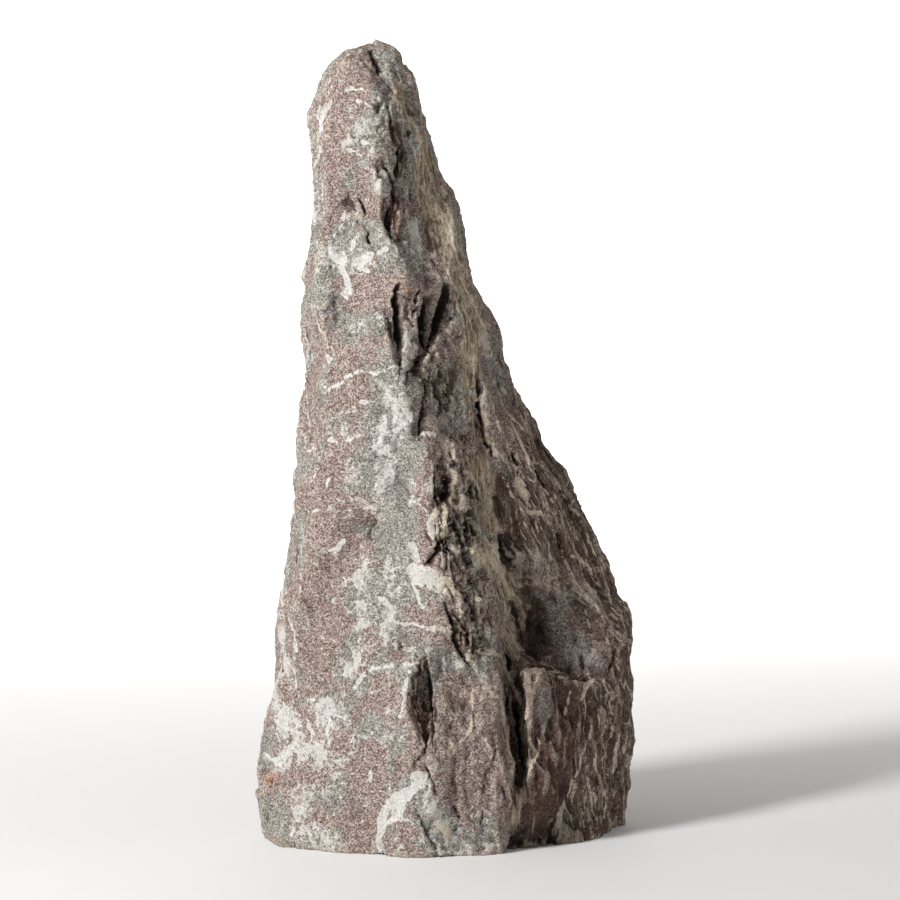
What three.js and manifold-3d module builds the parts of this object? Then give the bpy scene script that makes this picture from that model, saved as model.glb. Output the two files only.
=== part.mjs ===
// A marble monolith: one rough, upright garden stone, split along its steep bedding.
// Millimetres, +Z up, front towards -Y. The origin is on the ground, under the middle of the stone's box.
//
// The stone is one piece. Its shape is worked out as three overlapping masses, the spire, the buttress
// behind its right side and the toe block in front of that, each lofted between the edge lines (arrises)
// where its cleaved faces meet. The masses are joined into one solid and split flakes are cut out of it.
import * as THREE from "three";
import { ImprovedNoise } from "three/addons/math/ImprovedNoise.js";
import { mergeVertices } from "three/addons/utils/BufferGeometryUtils.js";
import Module from "manifold-3d";

// ---------------------------------------------------------------- driving dimensions
const HEIGHT = 1000;
const ROW_PITCH = 19; // height of one row of facets
const STRAY = { size: 27, up: 11, along: 0.55 }; // how far facet corners stray: up in mm, along in steps
const STRAY_PITCH = { start: 0.5, corner: 7.3, face: 5.1 }; // keeps the corners from straying alike
const EVENING = 6; // how much a corner of an outline counts, against one for each corner beside it
const CROWN_DROP = 9; // how far the last row stays below the very top
const LUMP = { height: 5, size: 95 }; // broad swelling of the faces
const BEDDING = { height: 3.2, across: 26, along: 210 }; // ribs that run up the stone with the bedding
const CHIP = { perPoint: 0.055, radius: [30, 76], depth: [1, 4.5], stretch: 1.6, tilt: 0.22, rim: 0.55 };
const CHIP_WAVER = { sideways: [-1, 1], upwards: [-0.5, 0.5] }; // which way a chip is tilted
const KNOBS = { height: 7, size: 34, centre: [42, -130, 345], reach: [85, 85, 215], core: 0.6 }; // the front
const FOOT_LIFT = 1; // chips leave everything above the foot at least this high
const LEVEL = 0.7; // faces whose outward line rises more steeply than this aren't chipped

// How each mass is roughened: the seed of its chance, and how far its bedding leans to the right for each
// millimetre down.
const SPIRE_BREAK = { seed: 11, lean: 0.08 };
const BUTTRESS_BREAK = { seed: 23, lean: 0.42 };
const TOE_BREAK = { seed: 37, lean: 0 };

// Each arris is a list of [height, x, y] points, from the ground up, and runs straight between them.
const SPIRE = [
  {
    name: "left edge",
    steps: 3,
    line: [
      [0, -232, -54], [26, -240, -46], [96, -240, -38], [150, -232, -32], [182, -228, -30],
      [215, -222, -28], [300, -220, -24], [352, -213, -22], [405, -202, -20], [450, -201, -18],
      [500, -192, -16], [600, -185, -12], [690, -186, -8], [742, -175, -4], [800, -169, 0],
      [880, -168, 4], [925, -167, 4], [950, -154, 4], [976, -146, 4], [991, -130, 4],
    ],
  },
  {
    name: "left shoulder",
    steps: 9,
    line: [
      [0, -202, -124], [60, -208, -106], [170, -198, -94], [330, -182, -86], [480, -168, -76],
      [640, -158, -66], [790, -148, -52], [900, -148, -42], [955, -136, -34], [980, -126, -28],
      [991, -117, -18],
    ],
  },
  {
    name: "front ridge",
    steps: 6,
    line: [
      [0, -17, -191], [80, -25, -184], [150, -27, -173], [240, -22, -168], [300, -10, -160], [390, -7, -152],
      [470, -12, -146], [520, -30, -140], [590, -56, -131], [680, -67, -118], [780, -69, -98],
      [850, -76, -82], [920, -84, -64], [965, -90, -46], [991, -95, -26],
    ],
  },
  {
    name: "cleft edge",
    steps: 4,
    line: [
      [0, 80, -164], [30, 92, -154], [72, 94, -146], [130, 85, -140], [190, 78, -130], [235, 68, -116],
      [262, 74, -106], [320, 68, -96], [400, 58, -78], [500, 50, -50], [600, 36, -38], [700, 26, -26],
      [775, 13, -18], [812, -4, -16], [835, -13, -14], [885, -20, -10], [940, -34, -6], [968, -45, -4],
      [991, -58, 0],
    ],
  },
  {
    name: "inner right",
    steps: 5,
    line: [
      [0, 80, 90], [200, 76, 86], [400, 58, 74], [600, 38, 62], [780, 12, 50], [880, -20, 44], [950, -44, 34],
      [991, -74, 16],
    ],
  },
  {
    name: "back ridge",
    steps: 6,
    line: [
      [0, -40, 168], [120, -46, 170], [300, -40, 150], [460, -62, 126], [620, -66, 112], [760, -84, 86],
      [880, -92, 68], [955, -96, 48], [991, -96, 22],
    ],
  },
  {
    name: "back left",
    steps: 5,
    line: [
      [0, -176, 92], [90, -188, 94], [240, -170, 84], [420, -160, 72], [600, -150, 64], [760, -140, 52],
      [900, -142, 42], [960, -130, 32], [991, -118, 16],
    ],
  },
];

const BUTTRESS_TOP = 812;
const BUTTRESS = [
  {
    name: "buried front",
    steps: 4,
    line: [[0, 20, -70], [240, 24, -66], [400, 24, -56], [600, 6, -30], [780, -20, -4], [812, -18, 4]],
  },
  {
    name: "hollow",
    steps: 5,
    line: [
      [0, 112, -84], [205, 112, -60], [232, 112, -10], [262, 112, -6], [290, 108, -16], [318, 98, -46],
      [350, 84, -78], [380, 72, -92], [450, 64, -82], [560, 46, -54], [680, 30, -26], [780, 10, -8],
      [812, -4, 6],
    ],
  },
  {
    name: "flank",
    steps: 4,
    line: [
      [0, 194, -36], [120, 208, -34], [220, 208, -26], [262, 196, -16], [320, 170, -16], [420, 126, -22],
      [520, 92, -10], [620, 64, 0], [720, 36, 6], [790, 12, 10], [812, 0, 14],
    ],
  },
  {
    name: "right edge",
    steps: 6,
    line: [
      [0, 238, 22], [26, 250, 28], [60, 251, 30], [100, 250, 34], [185, 251, 36], [232, 255, 40],
      [262, 245, 44], [302, 230, 50], [352, 213, 54], [400, 185, 54], [450, 167, 52], [486, 134, 48],
      [552, 112, 44], [600, 89, 40], [652, 72, 38], [705, 53, 36], [760, 36, 34], [812, 6, 30],
    ],
  },
  {
    name: "back right",
    steps: 6,
    line: [
      [0, 150, 152], [140, 166, 158], [300, 136, 132], [440, 92, 108], [580, 48, 90], [700, 14, 76],
      [790, -10, 62], [812, -16, 52],
    ],
  },
  {
    name: "buried back",
    steps: 5,
    line: [[0, 10, 130], [300, 4, 112], [560, -14, 84], [780, -46, 52], [812, -40, 44]],
  },
];

const TOE_TOP = 236; // height of the ledge on top of the toe block
const TOE_BLOCK = [
  {
    name: "cleft side",
    steps: 5,
    line: [
      [0, 66, -146], [44, 78, -142], [84, 95, -138], [112, 105, -134], [200, 104, -126], [236, 93, -118],
    ],
  },
  { name: "front right", steps: 4, line: [[0, 202, -74], [120, 206, -66], [222, 198, -60]] },
  { name: "buried right", steps: 3, line: [[0, 212, 10], [222, 202, 4]] },
  { name: "buried left", steps: 3, line: [[0, 92, 0], [222, 92, -16]] },
];
const TOE_TILT = { toRight: -0.13, toBack: -0.22 }; // how its top falls, in millimetres per millimetre

// Flakes that have split off the front. A flake runs between its tips, [height, x], through stations of
// [height, left x, right x, depth]. Its deepest line lies at a share of its width from the left lip. In
// most it is behind that lip, so that the left wall is undercut and the right one is gentle.
const UNDER_LEFT_LIP = -0.25;
const NEAR_RIGHT_LIP = 0.85;
const FLAKE_FRONT = { lips: 2, middle: 40 }; // how far the cutters stand proud of the face, in mm
const FLAKES = [
  {
    name: "foot notch",
    deepest: NEAR_RIGHT_LIP,
    tips: [[258, -26], [116, -22]],
    stations: [
      [240, -31, -19, 12], [222, -38, -17, 22], [205, -46, -14, 30], [192, -50, -14, 32], [176, -49, -14, 30],
      [160, -41, -14, 26], [136, -32, -17, 15],
    ],
  },
  {
    name: "twin slit, left",
    deepest: UNDER_LEFT_LIP,
    tips: [[692, -60], [586, -47]],
    stations: [[672, -68, -52, 14], [640, -67, -46, 34], [614, -61, -44, 26]],
  },
  {
    name: "twin slit, right",
    deepest: UNDER_LEFT_LIP,
    tips: [[700, 6], [572, -47]],
    stations: [[676, -27, 8, 16], [650, -34, -2, 36], [620, -30, -12, 34], [596, -38, -26, 16]],
  },
  {
    name: "mid slit",
    deepest: UNDER_LEFT_LIP,
    tips: [[572, -24], [492, -33]],
    stations: [[552, -30, -20, 10], [524, -36, -21, 24], [504, -37, -27, 14]],
  },
  {
    name: "valley slit",
    deepest: UNDER_LEFT_LIP,
    tips: [[580, 36], [468, 58]],
    stations: [[552, 36, 45, 14], [520, 40, 52, 28], [492, 46, 56, 16]],
  },
  {
    name: "ridge crack",
    deepest: UNDER_LEFT_LIP,
    tips: [[884, -78], [738, -62]],
    stations: [[848, -82, -70, 9], [812, -76, -58, 18], [780, -76, -56, 22], [756, -70, -56, 12]],
  },
  {
    name: "crown crack",
    deepest: UNDER_LEFT_LIP,
    tips: [[992, -92], [916, -58]],
    stations: [[968, -92, -78, 10], [944, -80, -66, 12]],
  },
];

// ---------------------------------------------------------------- helpers
const WELD = 1e-3; // points closer together than this are one point
const GROUND = 1e-6; // points lower than this are on the foot
const CHANCE = { factor: 1664525, step: 1013904223, span: 2 ** 32 }; // of the random numbers
const noise = new ImprovedNoise();
const wasm = await Module();
wasm.setup();

// A repeatable random number from 0 to 1.
function randomFrom(seed) {
  let state = seed;
  return () => {
    state = (state * CHANCE.factor + CHANCE.step) % CHANCE.span;
    return state / CHANCE.span;
  };
}

// Where an arris stands at height z.
function arrisAt(line, z) {
  const last = line.length - 1;
  if (z <= line[0][0]) return new THREE.Vector2(line[0][1], line[0][2]);
  if (z >= line[last][0]) return new THREE.Vector2(line[last][1], line[last][2]);
  const upper = line.findIndex(([height]) => height > z);
  const [z0, x0, y0] = line[upper - 1];
  const [z1, x1, y1] = line[upper];
  const share = (z - z0) / (z1 - z0);
  return new THREE.Vector2(x0 + (x1 - x0) * share, y0 + (y1 - y0) * share);
}

// The outline of a mass at height z: its arrises, with each face between two of them cut into steps.
function outlineAt(arrises, z) {
  const corners = arrises.map(({ line }) => arrisAt(line, z));
  const outline = arrises.flatMap(({ steps }, i) => {
    const next = corners[(i + 1) % corners.length];
    return Array.from({ length: steps }, (_, k) => {
      const [u, v] = [k * STRAY_PITCH.corner + STRAY_PITCH.start, i * STRAY_PITCH.face];
      const astray = k === 0 ? 0 : STRAY.along * noise.noise(u, v, z / STRAY.size);
      return corners[i].clone().lerp(next, (k + astray) / steps);
    });
  });
  const before = (i) => outline[(i + outline.length - 1) % outline.length];
  const after = (i) => outline[(i + 1) % outline.length];
  const evened = (p, i) => p.clone().multiplyScalar(EVENING).add(before(i)).add(after(i));
  return outline.map((p, i) => evened(p, i).divideScalar(EVENING + 2));
}

// A closed skin over rows of points, all of one count, from a first point to a last one.
function skinOver(rows, first, last) {
  const columns = rows[0].length;
  const stops = [first, ...rows, last];
  const profile = stops.map((_, i) => new THREE.Vector2(i === 0 || i === stops.length - 1 ? 0 : 1, i));
  const skin = new THREE.LatheGeometry(profile, columns);
  const position = skin.getAttribute("position");
  for (let column = 0; column <= columns; column++) {
    stops.forEach((stop, i) => {
      const p = Array.isArray(stop) ? stop[column % columns] : stop;
      position.setXYZ(column * stops.length + i, p.x, p.y, p.z);
    });
  }
  skin.deleteAttribute("normal");
  skin.deleteAttribute("uv");
  return mergeVertices(skin, WELD);
}

// A mass: a skin through its outlines, from the middle of its flat foot to the middle of its top.
function loft(arrises, top, crown) {
  const count = Math.round(top / ROW_PITCH);
  const rows = Array.from({ length: count + 1 }, (_, row) => {
    const z = (top * row) / count;
    const inside = row > 0 && row < count;
    return outlineAt(arrises, z).map((p) => {
      const up = STRAY.up * noise.noise(p.x / STRAY.size, p.y / STRAY.size, z / STRAY.size);
      return new THREE.Vector3(p.x, p.y, inside ? z + up : z);
    });
  });
  const middle = (row) => row.reduce((sum, p) => sum.add(p), new THREE.Vector3()).divideScalar(row.length);
  return skinOver(rows, middle(rows[0]), middle(rows[count]).setZ(crown));
}

// How strongly the knobs show at a point: they fade out towards the edge of their patch.
function knobShare(p) {
  const [x, y, z] = p.toArray().map((value, axis) => (value - KNOBS.centre[axis]) / KNOBS.reach[axis]);
  return 1 - THREE.MathUtils.smoothstep(Math.hypot(x, y, z), KNOBS.core, 1);
}

// Swells the faces, ribs them along the bedding and knocks flat chips off them. The foot stays flat.
function roughen(skin, { seed, lean }) {
  skin.computeVertexNormals();
  const position = skin.getAttribute("position");
  const normal = skin.getAttribute("normal");
  const at = (attribute, i) => new THREE.Vector3().fromBufferAttribute(attribute, i);
  const points = Array.from({ length: position.count }, (_, i) => at(position, i));
  const outward = points.map((_, i) => at(normal, i));
  points.forEach((p, i) => {
    const lump = noise.noise(p.x / LUMP.size, p.y / LUMP.size, p.z / LUMP.size + seed);
    const beside = p.x + lean * p.z;
    const rib = noise.noise(beside / BEDDING.across, p.y / BEDDING.across, p.z / BEDDING.along + seed);
    const knob = noise.noise(p.x / KNOBS.size, p.y / KNOBS.size, p.z / KNOBS.size + seed);
    const out = LUMP.height * lump + BEDDING.height * rib + KNOBS.height * knob * knobShare(p);
    const onFoot = p.z < GROUND;
    p.x += outward[i].x * out;
    p.y += outward[i].y * out;
    if (!onFoot) p.z += outward[i].z * out;
  });
  const random = randomFrom(seed);
  const between = ([low, high]) => low + (high - low) * random();
  for (let n = 0; n < CHIP.perPoint * points.length; n++) {
    const start = Math.floor(random() * points.length);
    const centre = points[start].clone();
    const { sideways, upwards } = CHIP_WAVER;
    const tilt = new THREE.Vector3(between(sideways), between(sideways), between(upwards));
    const facing = outward[start].clone().addScaledVector(tilt, CHIP.tilt).normalize();
    const radius = between(CHIP.radius);
    const depth = between(CHIP.depth);
    if (Math.abs(outward[start].z) > LEVEL) continue;
    for (const p of points) {
      const away = Math.hypot(p.x - centre.x, p.y - centre.y, (p.z - centre.z) / CHIP.stretch);
      if (away > radius) continue;
      const onFoot = p.z < GROUND;
      const proud = p.clone().sub(centre).dot(facing) + depth;
      const share = 1 - THREE.MathUtils.smoothstep(away, CHIP.rim * radius, radius);
      if (proud > 0) p.addScaledVector(facing, -proud * share);
      p.z = onFoot ? 0 : Math.max(p.z, FOOT_LIFT);
    }
  }
  points.forEach((p, i) => position.setXYZ(i, p.x, p.y, p.z));
  skin.deleteAttribute("normal");
  return skin;
}

function solidFrom(geometry) {
  const merged = mergeVertices(geometry, WELD);
  const mesh = new wasm.Mesh({
    numProp: 3,
    vertProperties: new Float32Array(merged.getAttribute("position").array),
    triVerts: new Uint32Array(merged.index.array),
  });
  return new wasm.Manifold(mesh);
}

function geometryFrom(solid) {
  const { vertProperties, triVerts, numProp, numVert } = solid.getMesh();
  const position = new Float32Array(numVert * 3);
  for (let i = 0; i < numVert; i++) {
    position.set(vertProperties.subarray(i * numProp, i * numProp + 3), i * 3);
  }
  return new THREE.BufferGeometry()
    .setAttribute("position", new THREE.BufferAttribute(position, 3))
    .setIndex(new THREE.BufferAttribute(triVerts, 1));
}

// ---------------------------------------------------------------- the three masses
function spire() {
  return solidFrom(roughen(loft(SPIRE, HEIGHT - CROWN_DROP, HEIGHT), SPIRE_BREAK));
}

function buttress() {
  return solidFrom(roughen(loft(BUTTRESS, BUTTRESS_TOP, BUTTRESS_TOP + CROWN_DROP), BUTTRESS_BREAK));
}

// The toe block's top is a ledge that falls a little to the right and towards the back.
function toeBlock() {
  const skin = roughen(loft(TOE_BLOCK, TOE_TOP, TOE_TOP), TOE_BREAK);
  const position = skin.getAttribute("position");
  for (let i = 0; i < position.count; i++) {
    const [, x0, y0] = TOE_BLOCK[0].line[0];
    const fall = TOE_TILT.toRight * (position.getX(i) - x0) + TOE_TILT.toBack * (position.getY(i) - y0);
    position.setZ(i, position.getZ(i) * (1 + fall / TOE_TOP));
  }
  return solidFrom(skin);
}

// The cutter for one flake, which stands proud of the face so that it cuts right through it.
function flakeCutter({ deepest, tips, stations }, depthOf) {
  const onFace = (x, z, sink) => new THREE.Vector3(x, depthOf(x, z) + sink, z);
  const rows = stations.map(([z, left, right, depth]) => {
    const lips = [left, right].map((x) => onFace(x, z, -FLAKE_FRONT.lips));
    const inside = onFace(left, z, depth).setX(left + (right - left) * deepest);
    const front = onFace((left + right) / 2, z, -FLAKE_FRONT.middle);
    return [lips[0], inside, lips[1], front];
  });
  const [top, bottom] = tips.map(([z, x]) => onFace(x, z, -FLAKE_FRONT.lips));
  return solidFrom(skinOver(rows, top, bottom));
}

// ---------------------------------------------------------------- the stone
function stoneGeometry() {
  const whole = spire().add(buttress()).add(toeBlock());
  const face = new THREE.Mesh(geometryFrom(whole));
  const depthOf = (x, z) => {
    const ray = new THREE.Raycaster(new THREE.Vector3(x, -HEIGHT, z), new THREE.Vector3(0, 1, 0));
    return ray.intersectObject(face)[0].point.y;
  };
  const split = FLAKES.reduce((solid, flake) => solid.subtract(flakeCutter(flake, depthOf)), whole);
  const [largest] = split.decompose().sort((a, b) => b.volume() - a.volume());
  const geometry = geometryFrom(largest);
  geometry.computeBoundingBox();
  const centre = geometry.boundingBox.getCenter(new THREE.Vector3());
  geometry.translate(-centre.x, -centre.y, -geometry.boundingBox.min.z);
  return geometry;
}

const marble = new THREE.MeshStandardMaterial({ color: 0x9a8b86, roughness: 0.92, flatShading: true });
const stone = new THREE.Mesh(stoneGeometry(), marble);
stone.name = "stone";

const monolith = new THREE.Group();
monolith.add(stone);
export default monolith;
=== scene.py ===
# %% [markdown]
# # A marble monolith
# One upright garden stone, split roughly out of a bed of mauve and grey-green marble that is laced with
# white calcite. It is a single piece: no joints, nothing fixed to it. The lesson takes the plain faceted
# solid from the CAD frame, gives it an even skin, breaks that skin the way the stone breaks, lays the veins
# on it and finishes it with one grainy material. Everything is in metres, with +Z up and the front at -Y.

# %% Load the frame
import math
from contextlib import contextmanager

import bmesh
import bpy
import numpy as np
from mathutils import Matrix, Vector, kdtree, noise
from mathutils.bvhtree import BVHTree


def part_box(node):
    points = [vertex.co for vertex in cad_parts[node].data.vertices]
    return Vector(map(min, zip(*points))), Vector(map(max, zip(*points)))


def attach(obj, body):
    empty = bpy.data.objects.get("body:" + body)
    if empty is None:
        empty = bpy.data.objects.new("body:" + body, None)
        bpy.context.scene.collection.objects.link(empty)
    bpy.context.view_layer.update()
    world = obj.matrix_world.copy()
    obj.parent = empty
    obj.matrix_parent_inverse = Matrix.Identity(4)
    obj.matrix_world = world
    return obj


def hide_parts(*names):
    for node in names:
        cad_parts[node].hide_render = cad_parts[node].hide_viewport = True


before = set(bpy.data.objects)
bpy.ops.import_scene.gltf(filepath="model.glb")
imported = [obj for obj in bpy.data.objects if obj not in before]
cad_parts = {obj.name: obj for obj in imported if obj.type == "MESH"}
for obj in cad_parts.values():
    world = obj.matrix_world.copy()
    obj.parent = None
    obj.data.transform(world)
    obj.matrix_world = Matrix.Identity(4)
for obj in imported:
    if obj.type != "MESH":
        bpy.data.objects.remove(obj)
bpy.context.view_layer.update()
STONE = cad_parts["stone"]
LOW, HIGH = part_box("stone")
MM = 0.001
print("stone box, mm:", [round((h - l) / MM) for l, h in zip(LOW, HIGH)])

# %% [markdown]
# ## The camera
# The camera comes first because the veins are drawn later as seen through it. A long lens well back from
# the stone keeps its sides nearly parallel, as a product camera does. It looks along +Y and a little down.

# %% Camera
VIEW = 900  # the view is counted in 900ths of its width, to the right and down from its top left corner
CAMERA_PLACE = Vector((0.002, -4.71, 0.98))
CAMERA_PITCH = math.radians(5.98)
LENS_MM = 150
SENSOR_MM = 36

lens = bpy.data.cameras.new("camera")
lens.lens = LENS_MM
lens.sensor_width = SENSOR_MM
camera = bpy.data.objects.new("camera", lens)
camera.location = CAMERA_PLACE
camera.rotation_euler = (math.pi / 2 - CAMERA_PITCH, 0, 0)
bpy.context.scene.collection.objects.link(camera)
bpy.context.scene.camera = camera
bpy.context.view_layer.update()
CAMERA_TURN = camera.matrix_world.to_3x3()


def sight(right, down):
    """The direction of the line of sight through a point of the view."""
    focal = VIEW * LENS_MM / SENSOR_MM
    across = (right - VIEW / 2) / focal
    up = (VIEW / 2 - down) / focal
    return (CAMERA_TURN @ Vector((across, up, -1))).normalized()


print("camera looks along", [round(c, 3) for c in sight(VIEW / 2, VIEW / 2)])

# %% [markdown]
# ## An even skin
# The CAD solid has a few thousand triangles of every shape, too few and too uneven to carve. Subdividing
# would keep its long thin triangles, so the skin is made anew: a voxel remesh lays small squares of one size
# all over it. The loose triangles of the frame's copy are first merged into one closed skin. Mesh operators
# work on an opened copy of a mesh, which is written back when they are done.

# %% Remesh
SKIN = 2.4 * MM  # size of one square of the skin
WELD = 0.01 * MM  # corners nearer than this are one corner


@contextmanager
def opened(mesh, result=None):
    """A mesh opened for operators. The with block's end writes it back, or into another mesh."""
    skin = bmesh.new()
    skin.from_mesh(mesh)
    yield skin
    skin.to_mesh(mesh if result is None else result)
    skin.free()


def even_skin(node, name, size):
    """A new object: a copy of a CAD node with small squares of one size all over it."""
    mesh = bpy.data.meshes.new(name)
    with opened(node.data, result=mesh) as skin:
        bmesh.ops.remove_doubles(skin, verts=skin.verts, dist=WELD)
    piece = bpy.data.objects.new(name, mesh)
    bpy.context.scene.collection.objects.link(piece)
    remesh = piece.modifiers.new("even skin", "REMESH")
    remesh.mode = "VOXEL"
    remesh.voxel_size = size
    apply_modifiers(piece)
    return piece


def apply_modifiers(piece):
    """Makes what the modifiers show the piece's own mesh."""
    bpy.context.view_layer.update()
    shown = piece.evaluated_get(bpy.context.evaluated_depsgraph_get())
    piece.data = bpy.data.meshes.new_from_object(shown)
    piece.modifiers.clear()


monolith = even_skin(STONE, "marble_monolith", SKIN)
print("skin:", len(monolith.data.vertices), "points")

# %% [markdown]
# ## Moving points
# A mesh of this size is too slow to move point by point through Blender's own lists. Its places and normals
# are copied into arrays, moved all at once, and written back. The first move evens the skin out a little,
# which takes the machine-made creases away. The stone's own breaks are carved afterwards.

# %% Arrays
SOFTEN_ROUNDS = 5
NOISE_SEED = 7  # without a seed, noise vectors differ from run to run
SHAKES = {14 * MM: 3.0 * MM, 5 * MM: 1.5 * MM}  # size of a wave: how far it moves a point
SEED_STEP = np.array([7.3, 2.9, 5.1])  # each seed reads the noise this much farther on


def places(mesh):
    flat = np.empty(len(mesh.vertices) * 3)
    mesh.vertices.foreach_get("co", flat)
    return flat.reshape(-1, 3)


def outward(mesh):
    mesh.update()
    flat = np.empty(len(mesh.vertices) * 3)
    mesh.vertices.foreach_get("normal", flat)
    return flat.reshape(-1, 3)


def set_places(mesh, points):
    mesh.vertices.foreach_set("co", np.ascontiguousarray(points).ravel())
    mesh.update()


def evened(mesh, points, rounds):
    """The points after each has moved, round after round, to the middle of its neighbours."""
    ends = np.empty(len(mesh.edges) * 2, dtype=int)
    mesh.edges.foreach_get("vertices", ends)
    first, second = ends[0::2], ends[1::2]
    size = len(points)
    neighbours = np.bincount(ends, minlength=size)
    for _ in range(rounds):
        ahead = [np.bincount(first, axis, size) for axis in points[second].T]
        behind = [np.bincount(second, axis, size) for axis in points[first].T]
        points = (np.column_stack(ahead) + np.column_stack(behind)) / neighbours[:, None]
    return points


def jagged(points):
    """The points shaken to and fro, so that whatever is measured from them gets a ragged edge."""
    shaken = points.copy()
    for size, reach in SHAKES.items():
        shaken += reach * np.array([noise.noise_vector(p) for p in (points / size).tolist()])
    return shaken


def fade(value, low, high):
    """0 below low, 1 above high, and an even S-curve between them."""
    share = np.clip((value - low) / (high - low), 0, 1)
    return share * share * (3 - 2 * share)


def lumps(points, size, seed, octaves=1):
    """Smooth noise, from about -1 to 1, with lumps of a size given in metres."""
    shifted = points / size + SEED_STEP * seed
    return np.array([noise.fractal(p, 0.6, 2.0, octaves) for p in shifted.tolist()])


noise.seed_set(NOISE_SEED)
points = evened(monolith.data, places(monolith.data), SOFTEN_ROUNDS)
set_places(monolith.data, points)
normals = outward(monolith.data)
print("softened over %d rounds" % SOFTEN_ROUNDS)

# %% [markdown]
# ## The way the beds run
# The stone splits along steep beds. They stand upright in the front and at the left, and lean with the
# outline in the right flank. Every streak and splinter follows them, so patterns are drawn in places
# measured across the beds, into the stone and along the beds, and pulled out along them.

# %% Beds
FLANK_LEAN = 0.43  # how far the beds of the right flank lean, per metre of height


def bedded(points, lean, stretch):
    """Each point's place across the beds, into the stone and along the beds, which is squeezed by stretch."""
    along = (points[:, 2] - lean * points[:, 0]) / (1 + lean * lean)
    return np.column_stack([points[:, 0] + lean * points[:, 2], points[:, 1], along / stretch])


# %% [markdown]
# ## Where things are
# Marks and breaks are placed as points of the camera's view. A line of sight through each point finds its
# place on the stone, so a vein stays on the surface and never shows through to the back. Cracks, veins and
# patches of colour are all strokes: a row of such places with a width in millimetres.

# %% Finding places on the stone
def surface_of(piece):
    return BVHTree.FromObject(piece, bpy.context.evaluated_depsgraph_get())


def on_stone(right, down):
    """The place on the stone under a point of the view, or None beside the stone."""
    place, _, _, _ = SURFACE.ray_cast(CAMERA_PLACE, sight(right, down))
    return place


def trace(stroke, step=4):
    """A stroke of the view laid on the stone: a dense row of places."""
    row = []
    for (x0, y0), (x1, y1) in zip(stroke, stroke[1:]):
        count = max(1, round(math.hypot(x1 - x0, y1 - y0) / step))
        row += [on_stone(x0 + (x1 - x0) * k / count, y0 + (y1 - y0) * k / count) for k in range(count + 1)]
    return np.array([place for place in row if place is not None])


def away_from(points, row):
    """Each point's distance from a row of places, its share of the way along, and its side of the row."""
    nearest = np.full(len(points), 1.0)
    share, side = np.zeros(len(points)), np.ones(len(points))
    if len(row) < 2:
        return nearest, share, side
    near = np.all((points > row.min(0) - REACH) & (points < row.max(0) + REACH), axis=1)
    chosen = points[near]
    best, where, hand = np.full(len(chosen), 1.0), np.zeros(len(chosen)), np.ones(len(chosen))
    for k, (a, b) in enumerate(zip(row, row[1:])):
        line = b - a
        along = np.clip((chosen - a) @ line / max(line @ line, 1e-12), 0, 1)
        offset = chosen - a - along[:, None] * line
        distance = np.linalg.norm(offset, axis=1)
        better = distance < best
        best[better] = distance[better]
        where[better] = (k + along[better]) / (len(row) - 1)
        hand[better] = np.sign(np.cross(offset[better], line) @ INTO_VIEW)
    nearest[near], share[near], side[near] = best, where, hand
    return nearest, share, side


def inside(points, strokes):
    """How far each point lies inside the nearest stroke, in millimetres, and below zero outside."""
    depth = np.full(len(points), -REACH / MM)
    for stroke, width in strokes.values():
        distance, share, _ = away_from(points, trace(stroke))
        taper = 0.6 + 0.4 * np.sqrt(np.clip(4 * share * (1 - share), 0, 1))
        depth = np.maximum(depth, width / 2 * taper - distance / MM)
    return depth


REACH = 0.06  # no stroke is felt farther away than this
SURFACE = surface_of(monolith)
INTO_VIEW = np.array(sight(VIEW / 2, VIEW / 2))
print("front ridge at half height:", [round(c, 3) for c in on_stone(421, 440)])

# %% [markdown]
# ## Blunt edges
# The long front ridge is crisp only where flakes have come off beside it. Elsewhere it is worn round. Many
# rounds of evening would melt the whole stone, so they are blended in only along the worn stretches.

# %% Blunt the ridge
BLUNT_ROUNDS = 70
BLUNT = {
    "crown": ([(372, 60), (382, 110), (384, 160)], 40),
    "middle": ([(424, 440), (436, 480), (434, 530), (438, 580), (434, 640)], 60),
    "low": ([(428, 770), (430, 810), (434, 850)], 60),
    "shoulder": ([(392, 250), (394, 280)], 40),
    "cleft edge": ([(500, 560), (506, 630)], 26),
}

blunt = fade(inside(points, BLUNT), -10, 12)
rounded = evened(monolith.data, points, BLUNT_ROUNDS)
moved = np.linalg.norm((rounded - points)[blunt > 0.5], axis=1)
points = points * (1 - blunt[:, None]) + rounded * blunt[:, None]
set_places(monolith.data, points)
normals = outward(monolith.data)
print("rounding moves the ridge by %.1f mm" % (moved.max() / MM))

# %% [markdown]
# ## How rough each part is
# The broad left face is the smoothest: an even, sugary break. The strip between the front ridge and the
# cleft is knobbly, and the right flank is ribbed by the edges of the beds.

# %% Roughness of each part
KNOBBLY = {
    "middle": ([(456, 446), (458, 500), (464, 560), (470, 600)], 70),
    "lower": ([(466, 600), (478, 640)], 54),
    "under the slits": ([(424, 360), (444, 410)], 34),
}
LEFT_FACE = Vector((-0.42, -0.9, 0.1)).normalized()


def characters(points, normals):
    """How knobbly, how plain and how much part of the flank each point is."""
    knobbly = fade(inside(points, KNOBBLY), -12, 4)
    plain = fade(normals @ np.array(LEFT_FACE), 0.84, 0.97) * (1 - knobbly)
    flank = fade(points[:, 0], 0.03, 0.09) * fade(points[:, 2], 0.2, 0.32) * (1 - knobbly)
    return knobbly, plain, flank


def rightness(points):
    """How much part of the right side each point is, down to the ground."""
    return fade(points[:, 0], 0.04, 0.1)


knobbly, plain, flank = characters(points, normals)
roughness = 1 - 0.45 * plain + 0.6 * knobbly
print("share of points: knobbly %.2f, plain %.2f, flank %.2f" % (knobbly.mean(), plain.mean(), flank.mean()))

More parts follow.
